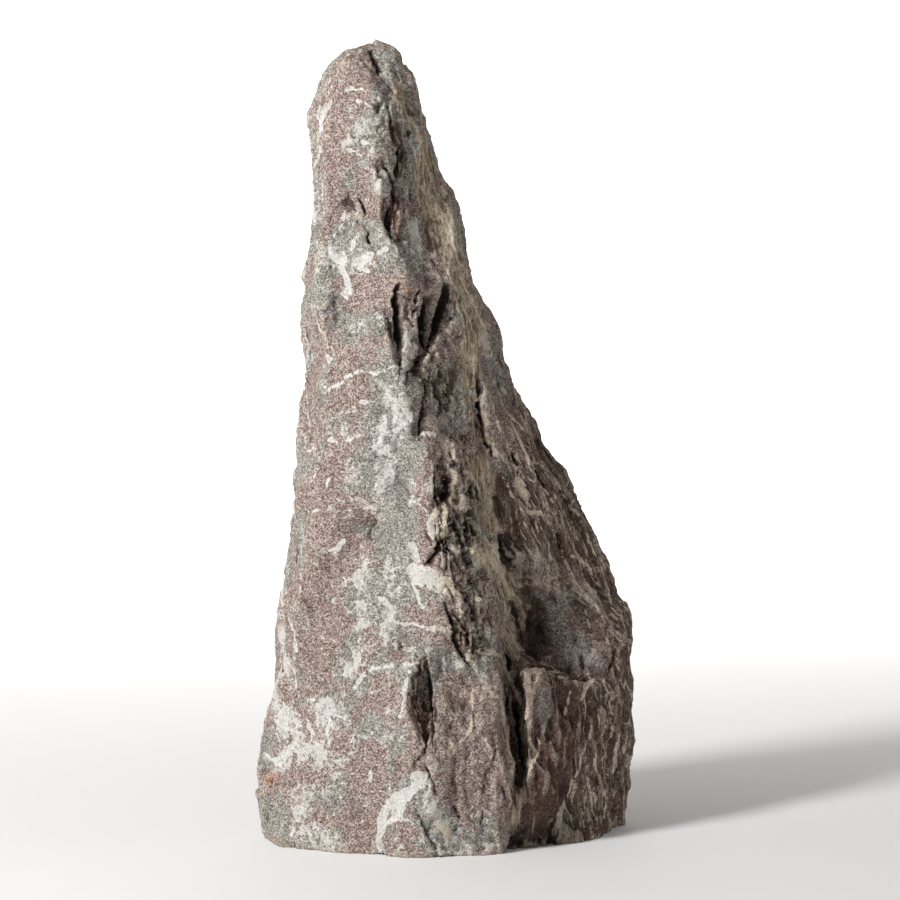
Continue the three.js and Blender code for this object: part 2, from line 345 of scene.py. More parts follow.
# %% [markdown]
# ## Flakes of every size
# Struck stone leaves shallow scoops that meet in sharp edges. Each scoop is a dish set around a random point
# of the skin, tilted a little, and every point of the skin falls to the lowest of the dishes near it.
# Doing this at falling sizes gives big facets with smaller ones on them. Dishes are longer along the beds.

# %% Scoops
def tree_of(points):
    """A tree that finds the nearest of the points quickly."""
    tree = kdtree.KDTree(len(points))
    for k, point in enumerate(points.tolist()):
        tree.insert(point, k)
    tree.balance()
    return tree


def scoops(squeezed, size, tilt, hollow, seed):
    """How far each point falls into the lowest nearby scoop, in metres, about zero on average."""
    chance = np.random.default_rng(seed)
    chosen = np.flatnonzero(chance.random(len(squeezed)) < (SKIN / size) ** 2)
    middles = squeezed[chosen]
    slopes = chance.normal(0, tilt, (len(chosen), 3))
    depths = chance.uniform(-0.5, 0.5, len(chosen)) * hollow * size
    tree = tree_of(middles)
    nearest = np.array([[k for _, k, _ in tree.find_n(p, 4)] for p in squeezed.tolist()])
    offset = squeezed[:, None, :] - middles[nearest]
    dish = hollow * (offset**2).sum(2) / size
    fall = depths[nearest] + (slopes[nearest] * offset).sum(2) + dish
    lowest = fall.min(1)
    return lowest - lowest.mean()


SCOOPS = [(36, 0.09, 0.12, 5), (16, 0.12, 0.18, 6), (8, 0.14, 0.22, 7)]  # size in mm, tilt, hollow, seed
SWELL = 2.0 * MM
KNOB_HEIGHT = 7.0 * MM
RIDGE_LEAN = 0.1  # the front ridge leans less than the flank

out = SWELL * lumps(points, 70 * MM, seed=1, octaves=2)
out += KNOB_HEIGHT * knobbly * lumps(bedded(points, RIDGE_LEAN, 2.0), 22 * MM, seed=2, octaves=3)
for share, lean, stretch in ((1 - flank, 0, 1.7), (flank, FLANK_LEAN, 2.2)):
    there = np.flatnonzero(share > 0)
    squeezed = bedded(points[there], lean, stretch)
    for size, tilt, hollow, seed in SCOOPS:
        out[there] += scoops(squeezed, size * MM, tilt, hollow, seed) * (share * roughness)[there]
points = points + normals * out[:, None]
print("scoops move the skin by %.1f mm at most" % (np.abs(out).max() / MM))

# %% [markdown]
# ## Edges of the beds
# On the right flank the beds come to the surface edge-on, as thin ribs with sharp crests and short drops.
# Noise folded at zero has such crests. It is drawn out five to six times along the beds. The same folding,
# read the other way round, gives the narrow crevices between the knobs of the middle strip.

# %% Ribs and crevices
RIB_HEIGHT = 1.4  # millimetres, as are the next three
RIGHT_RIB_HEIGHT = 4.6
CREVICE_DEPTH = 0.8
KNOB_CREVICE_DEPTH = 7.0


def ribs(points, lean, across, stretch, seed):
    """Sharp-crested ribs along the beds, from 0 in the grooves to 1 on the crests."""
    folded = np.abs(lumps(bedded(points, lean, stretch), across, seed, octaves=2))
    return 1 - np.clip(folded * 2.2, 0, 1)


def two_ribs(points, lean):
    return 0.8 * ribs(points, lean, 21 * MM, 5, seed=21) + 0.2 * ribs(points, lean, 9 * MM, 6, seed=22)


def crevices(points, size, seed):
    """Narrow winding crevices, 1 at their bottom and 0 between them."""
    folded = np.abs(lumps(bedded(points, RIDGE_LEAN, 3.0), size, seed, octaves=2))
    return 1 - fade(folded, 0, 0.2)


wander = 6 * MM * lumps(points, 40 * MM, seed=23)
wandering = points + wander[:, None] * np.array([1, 1, 0])
rib = two_ribs(wandering, 0) * (1 - flank) + two_ribs(wandering, FLANK_LEAN) * flank
right_side = rightness(points)
patchwork = 0.5 + 0.9 * fade(lumps(points, 60 * MM, seed=24), -0.3, 0.4)
rib_height = (RIB_HEIGHT * (1 - plain) + RIGHT_RIB_HEIGHT * right_side) * patchwork * MM
crevice_depth = CREVICE_DEPTH * (1 - plain) + KNOB_CREVICE_DEPTH * knobbly
crevice = crevices(points, 15 * MM, seed=41) * crevice_depth * MM
points = points + normals * ((rib - 0.5) * rib_height - crevice)[:, None]
set_places(monolith.data, points)
print("ribs up to %.1f mm, crevices up to %.1f mm" % (rib_height.max() / MM, crevice.max() / MM))

# %% [markdown]
# ## Splits, cracks and pockets
# The deep slits are where thin flakes have fallen out. Each one is a stroke with the width of its left wall,
# the width of its right slope and its depth, in millimetres. Most left walls are as steep as the mesh allows
# and most right slopes are gentle, because the flakes all split off from the right. The squares of the skin
# are cut into four beside the strokes first, so that the walls can be steep. Two walls are splintery: they
# get upright splinters that stand a little proud.

# %% Cracks
CRACKS = {
    "crown crack": ([(368, 50), (370, 58), (374, 66), (379, 76)], 1.3, 14, 8),
    "crown crack, low": ([(377, 72), (383, 82), (389, 90), (397, 99)], 1.3, 9, 4),
    "crown chip": ([(391, 71), (395, 76), (399, 82)], 1.3, 8, 5),
    "shoulder crack": ([(386, 104), (389, 116), (388, 126), (391, 134), (394, 144)], 1.3, 8, 6),
    "shoulder crack, right": ([(409, 122), (406, 131), (401, 139), (399, 147)], 1.3, 9, 5),
    "shoulder splinter": ([(402, 142), (397, 150), (396, 158), (393, 170), (396, 180)], 1.3, 12, 8),
    "shoulder splinter, right": ([(412, 146), (407, 156), (405, 166), (401, 176)], 1.3, 8, 5),
    "shoulder thread": ([(402, 182), (400, 196), (403, 210), (401, 226)], 1.3, 7, 5),
    "ridge crack, top": ([(380, 157), (383, 168), (389, 178), (391, 186), (389, 194), (396, 206)], 1.3, 9, 7),
    "ridge crack, foot": ([(388, 205), (384, 215), (385, 227), (389, 236), (395, 244)], 1.3, 11, 7),
    "ridge crack, splinter": ([(394, 210), (392, 220), (394, 230), (399, 242)], 1.3, 8, 5),
    "right thread": ([(409, 180), (409, 194), (411, 204), (410, 216)], 1.3, 7, 5),
    "shoulder slit": ([(357, 198), (361, 207), (366, 215)], 1.3, 8, 8),
    "slit thread": ([(368, 214), (375, 222)], 1.3, 4, 3),
    "shoulder split": ([(353, 217), (362, 225), (367, 230)], 1.3, 4, 4),
    "shoulder split, low": ([(366, 230), (367, 240), (374, 252)], 1.3, 7, 7),
    "first pocket": ([(398, 282), (393, 291), (392, 304), (393, 322), (394, 340), (397, 352)], 1.3, 34, 17),
    "first slit": ([(397, 350), (400, 362), (399, 372), (399, 383)], 1.3, 3, 6),
    "small slit": ([(421, 287), (415, 297), (415, 307), (411, 318)], 1.5, 5, 9),
    "second pocket": ([(423, 296), (421, 310), (418, 322), (417, 331), (420, 342), (426, 354)], 1.3, 18, 15),
    "third pocket": ([(443, 280), (441, 296), (437, 305), (432, 320), (429, 334), (427, 350)], 1.3, 30, 21),
    "third slit": ([(428, 350), (421, 358), (411, 367), (406, 374), (405, 384)], 1.3, 6, 9),
    "mid slit": ([(425, 380), (422, 396), (420, 410), (418, 424), (418, 442)], 1.3, 13, 9),
    "valley slit": ([(476, 372), (476, 390), (476, 404), (478, 418), (481, 430)], 1.3, 11, 13),
    "valley slit, low": ([(479, 428), (483, 440), (488, 449), (492, 459)], 1.3, 7, 9),
    "knob line": ([(448, 450), (451, 460), (455, 470)], 1.3, 7, 6),
    "knob hollow": ([(447, 476), (442, 488), (440, 502)], 2, 14, 9),
    "ridge edge": ([(435, 462), (433, 480), (434, 498), (439, 512)], 1.3, 12, 7),
    "knob crack": ([(425, 530), (428, 539), (434, 546)], 1.3, 6, 5),
    "jagged crack": ([(451, 534), (444, 539), (438, 543), (435, 551), (430, 558), (424, 565)], 1.5, 10, 8),
    "knob crack, right": ([(447, 542), (445, 552), (446, 568)], 1.3, 7, 7),
    "knob groove": ([(451, 512), (454, 530), (460, 545), (462, 562)], 1.5, 9, 8),
    "dark pocket": ([(467, 508), (464, 522), (463, 534), (467, 547)], 1.5, 20, 11),
    "dark pocket, top": ([(471, 480), (469, 492), (473, 506)], 1.5, 14, 8),
    "green pocket": ([(499, 530), (498, 546), (501, 558), (507, 570)], 1.5, 26, 11),
    "valley groove": ([(466, 550), (470, 564), (477, 573)], 1.3, 7, 5),
    "long crack": ([(443, 601), (446, 613), (451, 624), (452, 636), (457, 650), (469, 671)], 1.5, 11, 12),
    "second crack": ([(452, 608), (458, 622), (464, 634), (468, 650)], 1.3, 9, 8),
    "third crack": ([(457, 583), (462, 596), (468, 608), (476, 622)], 1.3, 11, 7),
    "fourth crack": ([(492, 569), (495, 580), (498, 592), (502, 603)], 1.5, 8, 8),
    "bundle crack": ([(508, 598), (513, 614), (518, 630), (524, 650)], 1.5, 11, 7),
    "foot notch": ([(424, 646), (429, 664), (431, 690), (433, 712), (434, 732), (432, 752)], 7, 1.5, 8),
    "notch edge": ([(421, 656), (420, 668), (413, 680), (411, 694), (412, 712), (418, 728)], 1.5, 4, 4),
    "notch splinter": ([(419, 668), (417, 682), (416, 698), (419, 712)], 1.3, 4, 5),
    "notch splinter, right": ([(425, 662), (423, 676), (422, 692), (424, 708), (426, 722)], 1.3, 4, 5),
    "notch splinter, low": ([(416, 710), (420, 724), (423, 738), (426, 748)], 1.3, 5, 5),
    "notch foot": ([(431, 728), (427, 742), (423, 754)], 1.5, 3, 8),
    "notch thread": ([(424, 752), (418, 761), (412, 770)], 1.3, 4, 5),
    "foot crack": ([(424, 765), (431, 780), (438, 797)], 1.5, 8, 6),
    "foot crack, low": ([(416, 810), (422, 826), (430, 840), (438, 857)], 1.5, 10, 6),
    "foot chip": ([(446, 796), (453, 808), (460, 821)], 1.3, 6, 6),
    "foot chip, right": ([(467, 814), (475, 827)], 1.3, 6, 4),
    "front ripple": ([(490, 764), (485, 776), (481, 797)], 1.3, 12, 4),
    "front ripple, right": ([(500, 784), (506, 802)], 1.3, 8, 5),
    "front ripple, long": ([(462, 738), (466, 760), (463, 784), (469, 810)], 1.3, 10, 3),
    "front ripple, edge": ([(490, 728), (494, 750), (491, 776)], 1.3, 8, 4),
    "front ripple, left": ([(455, 758), (452, 780), (456, 802)], 1.3, 8, 3),
    "front ripple, low": ([(482, 806), (480, 824), (486, 842)], 1.3, 9, 4),
    "front ripple, high": ([(476, 698), (473, 720), (478, 744)], 1.3, 10, 3),
    "front ripple, corner": ([(498, 712), (503, 738), (501, 764)], 1.3, 7, 3),
    "front ripple, top": ([(452, 716), (450, 728), (455, 738)], 1.3, 10, 3),
    "vein crack": ([(485, 706), (482, 712), (479, 717)], 1.3, 3, 4),
    "narrow cleft": ([(503, 670), (506, 690), (507, 705), (508, 718)], 4, 2, 11),
    "cleft": ([(511, 698), (514, 715), (517, 735), (519, 755), (523, 773)], 1.5, 14, 11),
    "cleft, top": ([(505, 651), (506, 662), (510, 673)], 2, 9, 9),
    "block groove": ([(523, 668), (523, 685), (521, 702)], 7, 1.5, 7),
    "block line": ([(534, 714), (537, 728), (542, 744)], 1.3, 6, 4),
    "corner crack": ([(615, 648), (612, 662), (608, 674)], 2, 5, 6),
    "overhang, top": ([(460, 226), (464, 240), (467, 256)], 6, 3, 5),
    "overhang, middle": ([(494, 350), (499, 360), (504, 368)], 5, 3, 5),
    "overhang, low": ([(536, 438), (545, 452), (556, 468)], 7, 4, 6),
    "flank line, top": ([(491, 370), (496, 380), (499, 393)], 1.3, 7, 6),
    "flank chip, top": ([(511, 400), (515, 411)], 1.3, 7, 5),
    "flank line, middle": ([(502, 446), (508, 456), (513, 466)], 1.3, 7, 6),
    "flank hole": ([(511, 450), (514, 458), (516, 466)], 1.3, 6, 8),
    "flank chip": ([(533, 468), (538, 480), (544, 489)], 1.5, 12, 9),
    "flank line, right": ([(558, 490), (566, 504), (572, 520)], 1.3, 10, 6),
    "flank line, low": ([(572, 548), (580, 568), (586, 590)], 1.3, 10, 5),
}
SPLINTERY = {
    "notch wall": ([(424, 662), (421, 680), (419, 700), (422, 720), (428, 742)], 18),
    "shoulder wall": ([(391, 112), (398, 140), (402, 170), (399, 200), (398, 240)], 13),
}
EDGE_BAND = 13  # width in millimetres of the band of small squares along a crack
GROUND = 2.2  # a crack is looked for over this many times its own width, and the band
WALL_ROUGHNESS = 1.6  # millimetres, as are the next two
SPLINTER_HEIGHT = 5.0
SPLINTER_PROUD = 2.5
# The bottom of a crack this deep gets painted shadow, nearly black.
OPEN_DEPTH = 8  # a crack of this depth in millimetres, or a deeper one, is black at its bottom


def edges_between(skin, marked):
    """The edges of an opened mesh whose both ends are marked."""
    for vert, mark in zip(skin.verts, marked):
        vert.tag = bool(mark)
    return [edge for edge in skin.edges if edge.verts[0].tag and edge.verts[1].tag]


def cut_finer(mesh, marked):
    """Cuts every square whose corners are all marked into four."""
    with opened(mesh) as skin:
        edges = edges_between(skin, marked)
        bmesh.ops.subdivide_edges(skin, edges=edges, cuts=1, use_grid_fill=True)


def groove(points, ragged, stroke, left, right, depth):
    """How many millimetres deep each point lies in a groove with a left wall and a right slope."""
    distance, share, side = away_from(points, trace(stroke))
    wall = np.where(side < 0, left, right * ragged) * MM
    taper = np.clip(4 * share * (1 - share), 0, 1) ** 0.35
    return np.clip(1 - distance / wall, 0, 1) * taper * depth


SURFACE = surface_of(monolith)
bands, grounds = {}, {}
for name, (stroke, left, right, _) in CRACKS.items():
    bands[name] = (stroke, EDGE_BAND)
    grounds[name] = (stroke, GROUND * (left + right) + EDGE_BAND)
cut_finer(monolith.data, inside(points, bands) > 0)
points = places(monolith.data)
near = inside(points, grounds) > 0
shaken = jagged(points[near])
ragged = 1 + 0.4 * lumps(shaken, 9 * MM, seed=31)
carved, slit = np.zeros(len(points)), np.zeros(len(points))
for stroke, left, right, deepest in CRACKS.values():
    depth = groove(shaken, ragged, stroke, left, right, deepest)
    carved[near] += depth
    # slit is each point's share of the way down its crack, which the material turns into painted shadow.
    slit[near] = np.maximum(slit[near], depth / deepest * min(1, deepest / OPEN_DEPTH))
carved[near] += WALL_ROUGHNESS * fade(slit[near], 0, 0.3) * lumps(shaken, 6 * MM, seed=32, octaves=2)
splintery = fade(inside(points[near], SPLINTERY), -4, 3)
splinters = lumps(bedded(shaken, RIDGE_LEAN, 3.5), 7 * MM, seed=33, octaves=2)
carved[near] += splintery * (SPLINTER_HEIGHT * splinters - SPLINTER_PROUD)
points = points + INTO_VIEW * (carved * MM)[:, None]
print(len(CRACKS), "cracks carved in", len(points), "points, up to %.0f mm deep" % carved.max())

# %% [markdown]
# ## Back to a lean mesh
# Flat stretches need fewer triangles than cracks and edges. A collapse takes triangles away where they show
# least, and stops while the piece is small enough to share. The foot is pressed flat onto the ground. How
# deep each point lies under the level around it is measured before the collapse, while the skin is even:
# the material darkens such places, partly as dirt and partly as painted shade. A tree of the even skin's
# points lets the lean mesh look its measures up. A thin splinter can be cut loose by the carving, and would
# hang in the air beside the stone, so loose crumbs are deleted.

# %% Flatten the foot and thin the mesh
TRIANGLES = 128_000
FOOT = 2.5 * MM
LEVEL_ROUNDS = 26
CRUMB = 100  # a loose bit of skin with fewer points than this is a crumb


def reached_from(start):
    """Every point of the opened mesh that edges join to a point."""
    bit, rim = {start}, [start]
    while rim:
        vert = rim.pop()
        beside = [edge.other_vert(vert) for edge in vert.link_edges]
        fresh = [other for other in beside if other not in bit]
        bit.update(fresh)
        rim += fresh
    return bit


def drop_crumbs(mesh):
    """Deletes the crumbs that the carving has cut loose, and returns how many points they had."""
    known, crumbs = set(), []
    with opened(mesh) as skin:
        for start in skin.verts:
            if start not in known:
                bit = reached_from(start)
                known |= bit
                crumbs += bit if len(bit) < CRUMB else []
        bmesh.ops.delete(skin, geom=crumbs, context="VERTS")
    return len(crumbs)


points[:, 2] = np.where(points[:, 2] < FOOT, 0, points[:, 2])
set_places(monolith.data, points)
normals = outward(monolith.data)
under = ((evened(monolith.data, points, LEVEL_ROUNDS) - points) * normals).sum(1) / MM
even_points = tree_of(points)
print("deepest point under its surroundings: %.1f mm" % under.max())

thin = monolith.modifiers.new("fewer triangles", "DECIMATE")
thin.ratio = TRIANGLES / (2 * len(monolith.data.polygons))
thin.use_collapse_triangulate = True
apply_modifiers(monolith)
crumbs = drop_crumbs(monolith.data)
print("thinned to", len(monolith.data.polygons), "triangles,", crumbs, "points of loose crumbs dropped")

# %% [markdown]
# ## White veins
# Calcite filled the old cracks of the marble. The veins and patches are placed one by one as strokes with a
# width in millimetres, and the material frays their edges. Each point of the skin keeps how far it is
# inside the nearest vein. The skin is cut finer along the veins, so that thin ones stay whole.

# %% Veins
VEINS = {
    "crown lozenge": ([(330, 102), (325, 112), (322, 121), (321, 131)], 8),
    "crown seam": ([(345, 86), (356, 86), (362, 88), (368, 93), (373, 100), (379, 106)], 2.2),
    "crown fork": ([(331, 84), (337, 90), (342, 95), (343, 100)], 2),
    "crown patch": ([(356, 100), (363, 102), (371, 106)], 4),
    "crown tick": ([(354, 106), (357, 112)], 2.4),
    "crown, low patch": ([(370, 113), (379, 113)], 4),
    "crown, low seam": ([(317, 150), (328, 153), (336, 155), (348, 152), (364, 155)], 2.4),
    "crown arc": ([(338, 93), (350, 88), (366, 91), (378, 98), (384, 108)], 2.4),
    "left wall thread": ([(312, 282), (324, 290), (338, 292), (352, 300)], 2.2),
    "left wall thread, low": ([(306, 440), (318, 452), (334, 455), (350, 462)], 2.2),
    "left wall line": ([(338, 600), (350, 612), (366, 616), (380, 626)], 2.2),
    "crown, low blot": ([(348, 150), (354, 152)], 6),
    "crown, right blot": ([(362, 141), (371, 145)], 6),
    "crown edge": ([(314, 168), (318, 160), (320, 150), (317, 142)], 3.5),
    "crown edge, low": ([(322, 180), (323, 200), (317, 214)], 3),
    "ridge window": ([(375, 185), (381, 188), (384, 195)], 8),
    "ridge patch": ([(415, 217), (417, 228), (419, 240), (420, 252)], 6),
    "shoulder bar": ([(346, 210), (343, 218), (340, 228)], 5),
    "shoulder patch": ([(358, 232), (354, 242), (350, 250)], 6),
    "shoulder, left": ([(330, 251), (336, 258), (345, 263)], 9),
    "shoulder, hook": ([(324, 254), (318, 265), (314, 277)], 3),
    "shoulder, right": ([(356, 263), (364, 260), (371, 254)], 12),
    "shoulder, right low": ([(358, 269), (368, 271)], 7),
    "shoulder, low": ([(342, 270), (348, 280), (350, 292)], 8),
    "shoulder, thread": ([(328, 262), (338, 271), (346, 276)], 3),
    "shoulder, oval": ([(375, 255), (381, 251), (388, 248)], 6),
    "shoulder, arc": ([(322, 236), (332, 237), (340, 229)], 2.5),
    "left thread": ([(303, 327), (309, 349), (306, 365)], 2.5),
    "left thread, right": ([(316, 298), (317, 323), (325, 337), (328, 349)], 2.2),
    "left spot": ([(326, 354), (330, 362)], 6),
    "left curl": ([(318, 386), (330, 388), (342, 383), (346, 376), (358, 372), (374, 374), (394, 366)], 4),
    "left curl, tail": ([(340, 388), (332, 390), (324, 392)], 3),
    "left loop": ([(305, 409), (309, 422), (310, 431)], 2.8),
    "left loop, low": ([(304, 447), (309, 452), (314, 448)], 3),
    "ridge foot patch": ([(360, 403), (368, 402)], 7),
    "bar": ([(337, 410), (348, 411), (358, 410)], 2.8),
    "step": ([(328, 441), (342, 443), (352, 438), (365, 434)], 3.8),
    "chain, top": ([(384, 416), (385, 424), (380, 436), (380, 449)], 4.5),
    "chain, blob": ([(374, 427), (386, 428)], 7),
    "chain, low": ([(380, 449), (376, 459), (375, 474)], 4),
    "slit foot": ([(421, 434), (432, 433), (438, 437)], 5),
    "left comb": ([(315, 465), (315, 490), (311, 493)], 2.6),
    "left dash": ([(329, 478), (325, 486), (321, 493)], 4),
    "left hook": ([(347, 491), (352, 502), (348, 516), (339, 519)], 3),
    "left bar": ([(307, 511), (314, 513), (321, 510)], 3.5),
    "left bar, right": ([(332, 499), (344, 501)], 2.2),
    "thread, right": ([(355, 507), (368, 508), (380, 507)], 2.2),
    "edge line": ([(301, 520), (302, 530), (301, 560), (300, 598)], 2.6),
    "y, stem": ([(344, 539), (338, 550), (330, 552)], 6),
    "y, leg": ([(334, 553), (338, 561), (342, 567)], 2.5),
    "y, foot": ([(342, 572), (346, 580), (345, 588)], 2.5),
    "edge, top": ([(296, 492), (293, 506), (296, 520)], 3),
    "edge, middle": ([(284, 572), (281, 590), (283, 606)], 4),
    "edge, low": ([(289, 618), (294, 632), (296, 652)], 5),
    "edge, foot": ([(284, 657), (279, 674), (273, 700)], 3),
    "edge, spur": ([(284, 657), (294, 670), (298, 688)], 3),
    "ridge line": ([(434, 461), (432, 478), (432, 498)], 4),
    "ridge diagonal": ([(405, 497), (420, 506), (430, 515)], 2.4),
    "knob": ([(436, 513), (434, 524), (432, 536)], 15),
    "knob, right": ([(446, 512), (443, 522)], 9),
    "ridge blob, side": ([(410, 541), (416, 552), (418, 562)], 8),
    "ridge blob": ([(412, 570), (418, 576), (432, 574)], 25),
    "ridge bar": ([(438, 583), (448, 586), (456, 590)], 20),
    "ridge thread": ([(419, 588), (427, 586), (434, 590), (442, 597)], 2.4),
    "ridge thread, low": ([(411, 583), (418, 594), (421, 608)], 5),
    "centre patch": ([(381, 597), (387, 606), (392, 617)], 8),
    "centre band": ([(385, 618), (400, 624), (413, 623), (424, 628)], 5),
    "ridge crest": ([(428, 629), (440, 627), (447, 631), (449, 638)], 7),
    "valley blot": ([(444, 448), (449, 452), (453, 458)], 8),
    "valley blot, top": ([(444, 412), (454, 416)], 6),
    "valley blot, low": ([(464, 492), (468, 500)], 6),
    "wedge blot": ([(474, 556), (482, 562)], 10),
    "frame, left": ([(353, 691), (360, 680), (367, 673)], 5),
    "frame, top": ([(367, 673), (373, 667), (396, 667), (421, 662)], 4.2),
    "frame, right": ([(410, 670), (406, 684), (405, 698), (402, 710), (398, 721)], 5),
    "frame, dash": ([(371, 692), (380, 690)], 2.2),
    "cross vein": ([(464, 660), (472, 655), (482, 652), (492, 652), (500, 656)], 9),
    "cross vein, end": ([(500, 655), (504, 664), (508, 674), (511, 682)], 6),
    "cross vein, left": ([(470, 662), (476, 672), (484, 684)], 5),
    "cross vein, lace": ([(484, 684), (489, 690), (495, 697)], 7),
    "long vein": ([(473, 690), (472, 706), (472, 720), (470, 730), (464, 738), (457, 745)], 4),
    "long vein, end": ([(448, 753), (456, 746)], 11),
    "long vein, hook": ([(437, 744), (440, 739), (448, 740), (452, 744)], 6),
    "foot vein, top": ([(413, 775), (421, 777), (420, 786)], 15),
    "foot vein, middle": ([(414, 788), (406, 795), (396, 801), (389, 805)], 18),
    "foot vein, spur": ([(400, 797), (394, 793)], 5),
    "foot vein, branch": ([(402, 804), (398, 814), (390, 822)], 10),
    "foot vein, bend": ([(386, 806), (383, 818), (380, 832)], 13),
    "foot vein, low": ([(380, 828), (379, 842), (381, 858)], 10),
    "foot vein, thread": ([(396, 819), (406, 820), (415, 824)], 2),
    "foot dash": ([(371, 770), (370, 784)], 3.5),
    "foot dash, top": ([(355, 729), (351, 745)], 3.5),
    "foot thread": ([(355, 792), (370, 792), (385, 792)], 1.8),
    "pale stem": ([(330, 717), (328, 732), (329, 747)], 5),
    "lace, first": ([(266, 690), (272, 704), (282, 714), (290, 728)], 1.6),
    "lace, second": ([(284, 702), (292, 712), (304, 716), (314, 726)], 1.6),
    "lace, third": ([(306, 716), (312, 734), (310, 750)], 2),
    "lace, fourth": ([(272, 726), (280, 742), (292, 750)], 1.8),
    "lace, fifth": ([(306, 774), (318, 784), (328, 798)], 1.4),
    "pale, corner": ([(262, 752), (274, 760), (284, 768)], 3.6),
    "pale, left": ([(268, 712), (276, 722), (284, 728)], 3),
    "pale, top": ([(296, 694), (308, 700), (322, 702)], 2.4),
    "pale, right": ([(334, 704), (344, 712), (350, 722)], 2.4),
    "pale, middle": ([(300, 722), (312, 730), (322, 744)], 3),
    "pale, low": ([(286, 744), (298, 752), (304, 764)], 3),
    "foot, left line": ([(292, 803), (295, 820), (292, 836)], 4),
    "foot, fibre": ([(484, 588), (488, 585), (492, 582)], 2),
    "foot, pale": ([(436, 822), (446, 830), (451, 838)], 10),
    "block ledge": ([(527, 667), (540, 668), (552, 672), (566, 673), (576, 676), (596, 674)], 2.2),
    "block thread, top": ([(552, 674), (553, 688)], 1.8),
    "block tick": ([(571, 692), (567, 703), (565, 714)], 3.4),
    "block corner": ([(592, 680), (586, 690), (580, 702)], 5),
    "block vein, top": ([(592, 724), (589, 740), (582, 754), (580, 766), (572, 784), (566, 797)], 3),
    "block vein": ([(566, 796), (561, 810), (558, 822), (553, 838)], 7),
    "block vein, curl": ([(564, 806), (570, 815), (573, 826), (572, 838)], 3),
    "wedge vein": ([(539, 740), (538, 754), (532, 766), (526, 780)], 4.5),
    "cleft vein": ([(506, 668), (511, 681), (516, 692), (521, 706)], 5.5),
    "cleft thread": ([(511, 682), (510, 700), (510, 714)], 2.2),
    "cleft vein, low": ([(525, 774), (522, 790), (520, 806), (517, 822), (511, 835)], 5),
    "front thread": ([(476, 734), (484, 740), (490, 748), (492, 760)], 2),
    "front thread, low": ([(486, 820), (494, 832), (498, 846)], 3),
    "stone crest": ([(422, 298), (420, 308), (418, 320), (417, 332)], 4),
    "fan, left": ([(466, 456), (470, 470), (477, 486), (482, 502)], 4),
    "fan, middle": ([(478, 456), (482, 472), (485, 490), (487, 512)], 4),
    "fan, right": ([(487, 450), (488, 470), (489, 492), (490, 524)], 2.6),
    "fan, foot": ([(487, 512), (489, 524), (492, 536)], 5),
    "bundle, bright": ([(480, 550), (488, 557), (496, 566), (503, 576)], 11),
    "bundle, strand": ([(484, 534), (490, 546), (497, 556), (504, 564)], 5),
    "bundle, first": ([(502, 574), (508, 588), (510, 602), (508, 616)], 4),
    "bundle, second": ([(498, 578), (503, 594), (505, 612), (504, 634)], 2.6),
    "bundle, third": ([(507, 570), (514, 584), (520, 600), (524, 618), (520, 634)], 3.4),
    "neck strand, first": ([(399, 86), (402, 98), (407, 112), (413, 126), (418, 142)], 2.2),
    "neck strand, second": ([(406, 104), (412, 118), (418, 134), (424, 150)], 2),
    "neck strand, third": ([(414, 150), (417, 168), (420, 186), (427, 204), (434, 222)], 2.6),
    "neck strand, fourth": ([(420, 150), (427, 166), (433, 182), (441, 200)], 2.2),
    "neck strand, fifth": ([(428, 190), (436, 208), (444, 226), (452, 246), (460, 266)], 3.2),
    "neck strand, sixth": ([(432, 230), (438, 246), (444, 262), (446, 280)], 2.4),
    "neck strand, seventh": ([(447, 216), (452, 232), (460, 248), (468, 270)], 2.2),
    "slit strand, first": ([(446, 268), (454, 284), (462, 304), (472, 326), (480, 346)], 3),
    "slit strand, second": ([(452, 262), (464, 284), (474, 304), (484, 324)], 2.4),
    "slit strand, third": ([(456, 300), (462, 318), (466, 336), (466, 356)], 2.6),
    "slit strand, fourth": ([(470, 300), (480, 318), (488, 340), (492, 358)], 3.6),
    "slit strand, fifth": ([(462, 340), (466, 360), (466, 380), (470, 400)], 4),
    "flank strand, first": ([(506, 462), (516, 480), (528, 500), (540, 524), (550, 548)], 2.2),
    "flank strand, second": ([(496, 466), (508, 486), (520, 510), (530, 536)], 1.8),
    "flank strand, third": ([(556, 510), (566, 530), (576, 552), (584, 580)], 2.2),
    "flank strand, fourth": ([(520, 470), (536, 496), (548, 520), (562, 552)], 1.8),
    "flank strand, fifth": ([(580, 520), (592, 546), (604, 576), (612, 606)], 2.2),
    "flank strand, sixth": ([(562, 556), (574, 580), (584, 606), (590, 630)], 1.8),
    "flank strand, seventh": ([(590, 590), (602, 616), (610, 640)], 2.2),
    "flank seam, first": ([(485, 388), (486, 408), (487, 432)], 2.4),
    "flank seam, second": ([(490, 392), (493, 408), (500, 430), (509, 452)], 2.4),
    "flank seam, third": ([(498, 392), (506, 412), (522, 427), (532, 437)], 2.4),
    "flank patch": ([(488, 440), (494, 451), (503, 459)], 6),
    "flank patch, top": ([(502, 388), (508, 396)], 7),
    "flank band": ([(512, 424), (518, 436), (525, 450), (530, 464)], 4),
    "flank loop": ([(511, 449), (510, 458), (514, 466), (518, 458), (516, 448)], 2.2),
    "flank drop": ([(516, 466), (515, 480)], 2.4),
    "flank tick": ([(529, 466), (535, 475)], 2.6),
    "flank seam, long": ([(542, 460), (550, 472), (558, 486), (566, 498), (571, 508)], 2.6),
    "flank seam, middle": ([(536, 482), (546, 492), (556, 504), (562, 516)], 3.4),
    "flank tick, low": ([(570, 508), (579, 516)], 4),
    "flank blot": ([(528, 512), (540, 514), (548, 522)], 6),
    "flank blot, low": ([(572, 556), (584, 562), (592, 574)], 5),
    "corner seam, first": ([(604, 676), (606, 690), (606, 705)], 2.4),
    "corner seam, second": ([(598, 708), (600, 720), (598, 728)], 2.4),
    "corner seam, third": ([(612, 692), (611, 706), (613, 718)], 2.4),
    "corner seam, fourth": ([(610, 718), (612, 730), (606, 744), (604, 760)], 2.8),
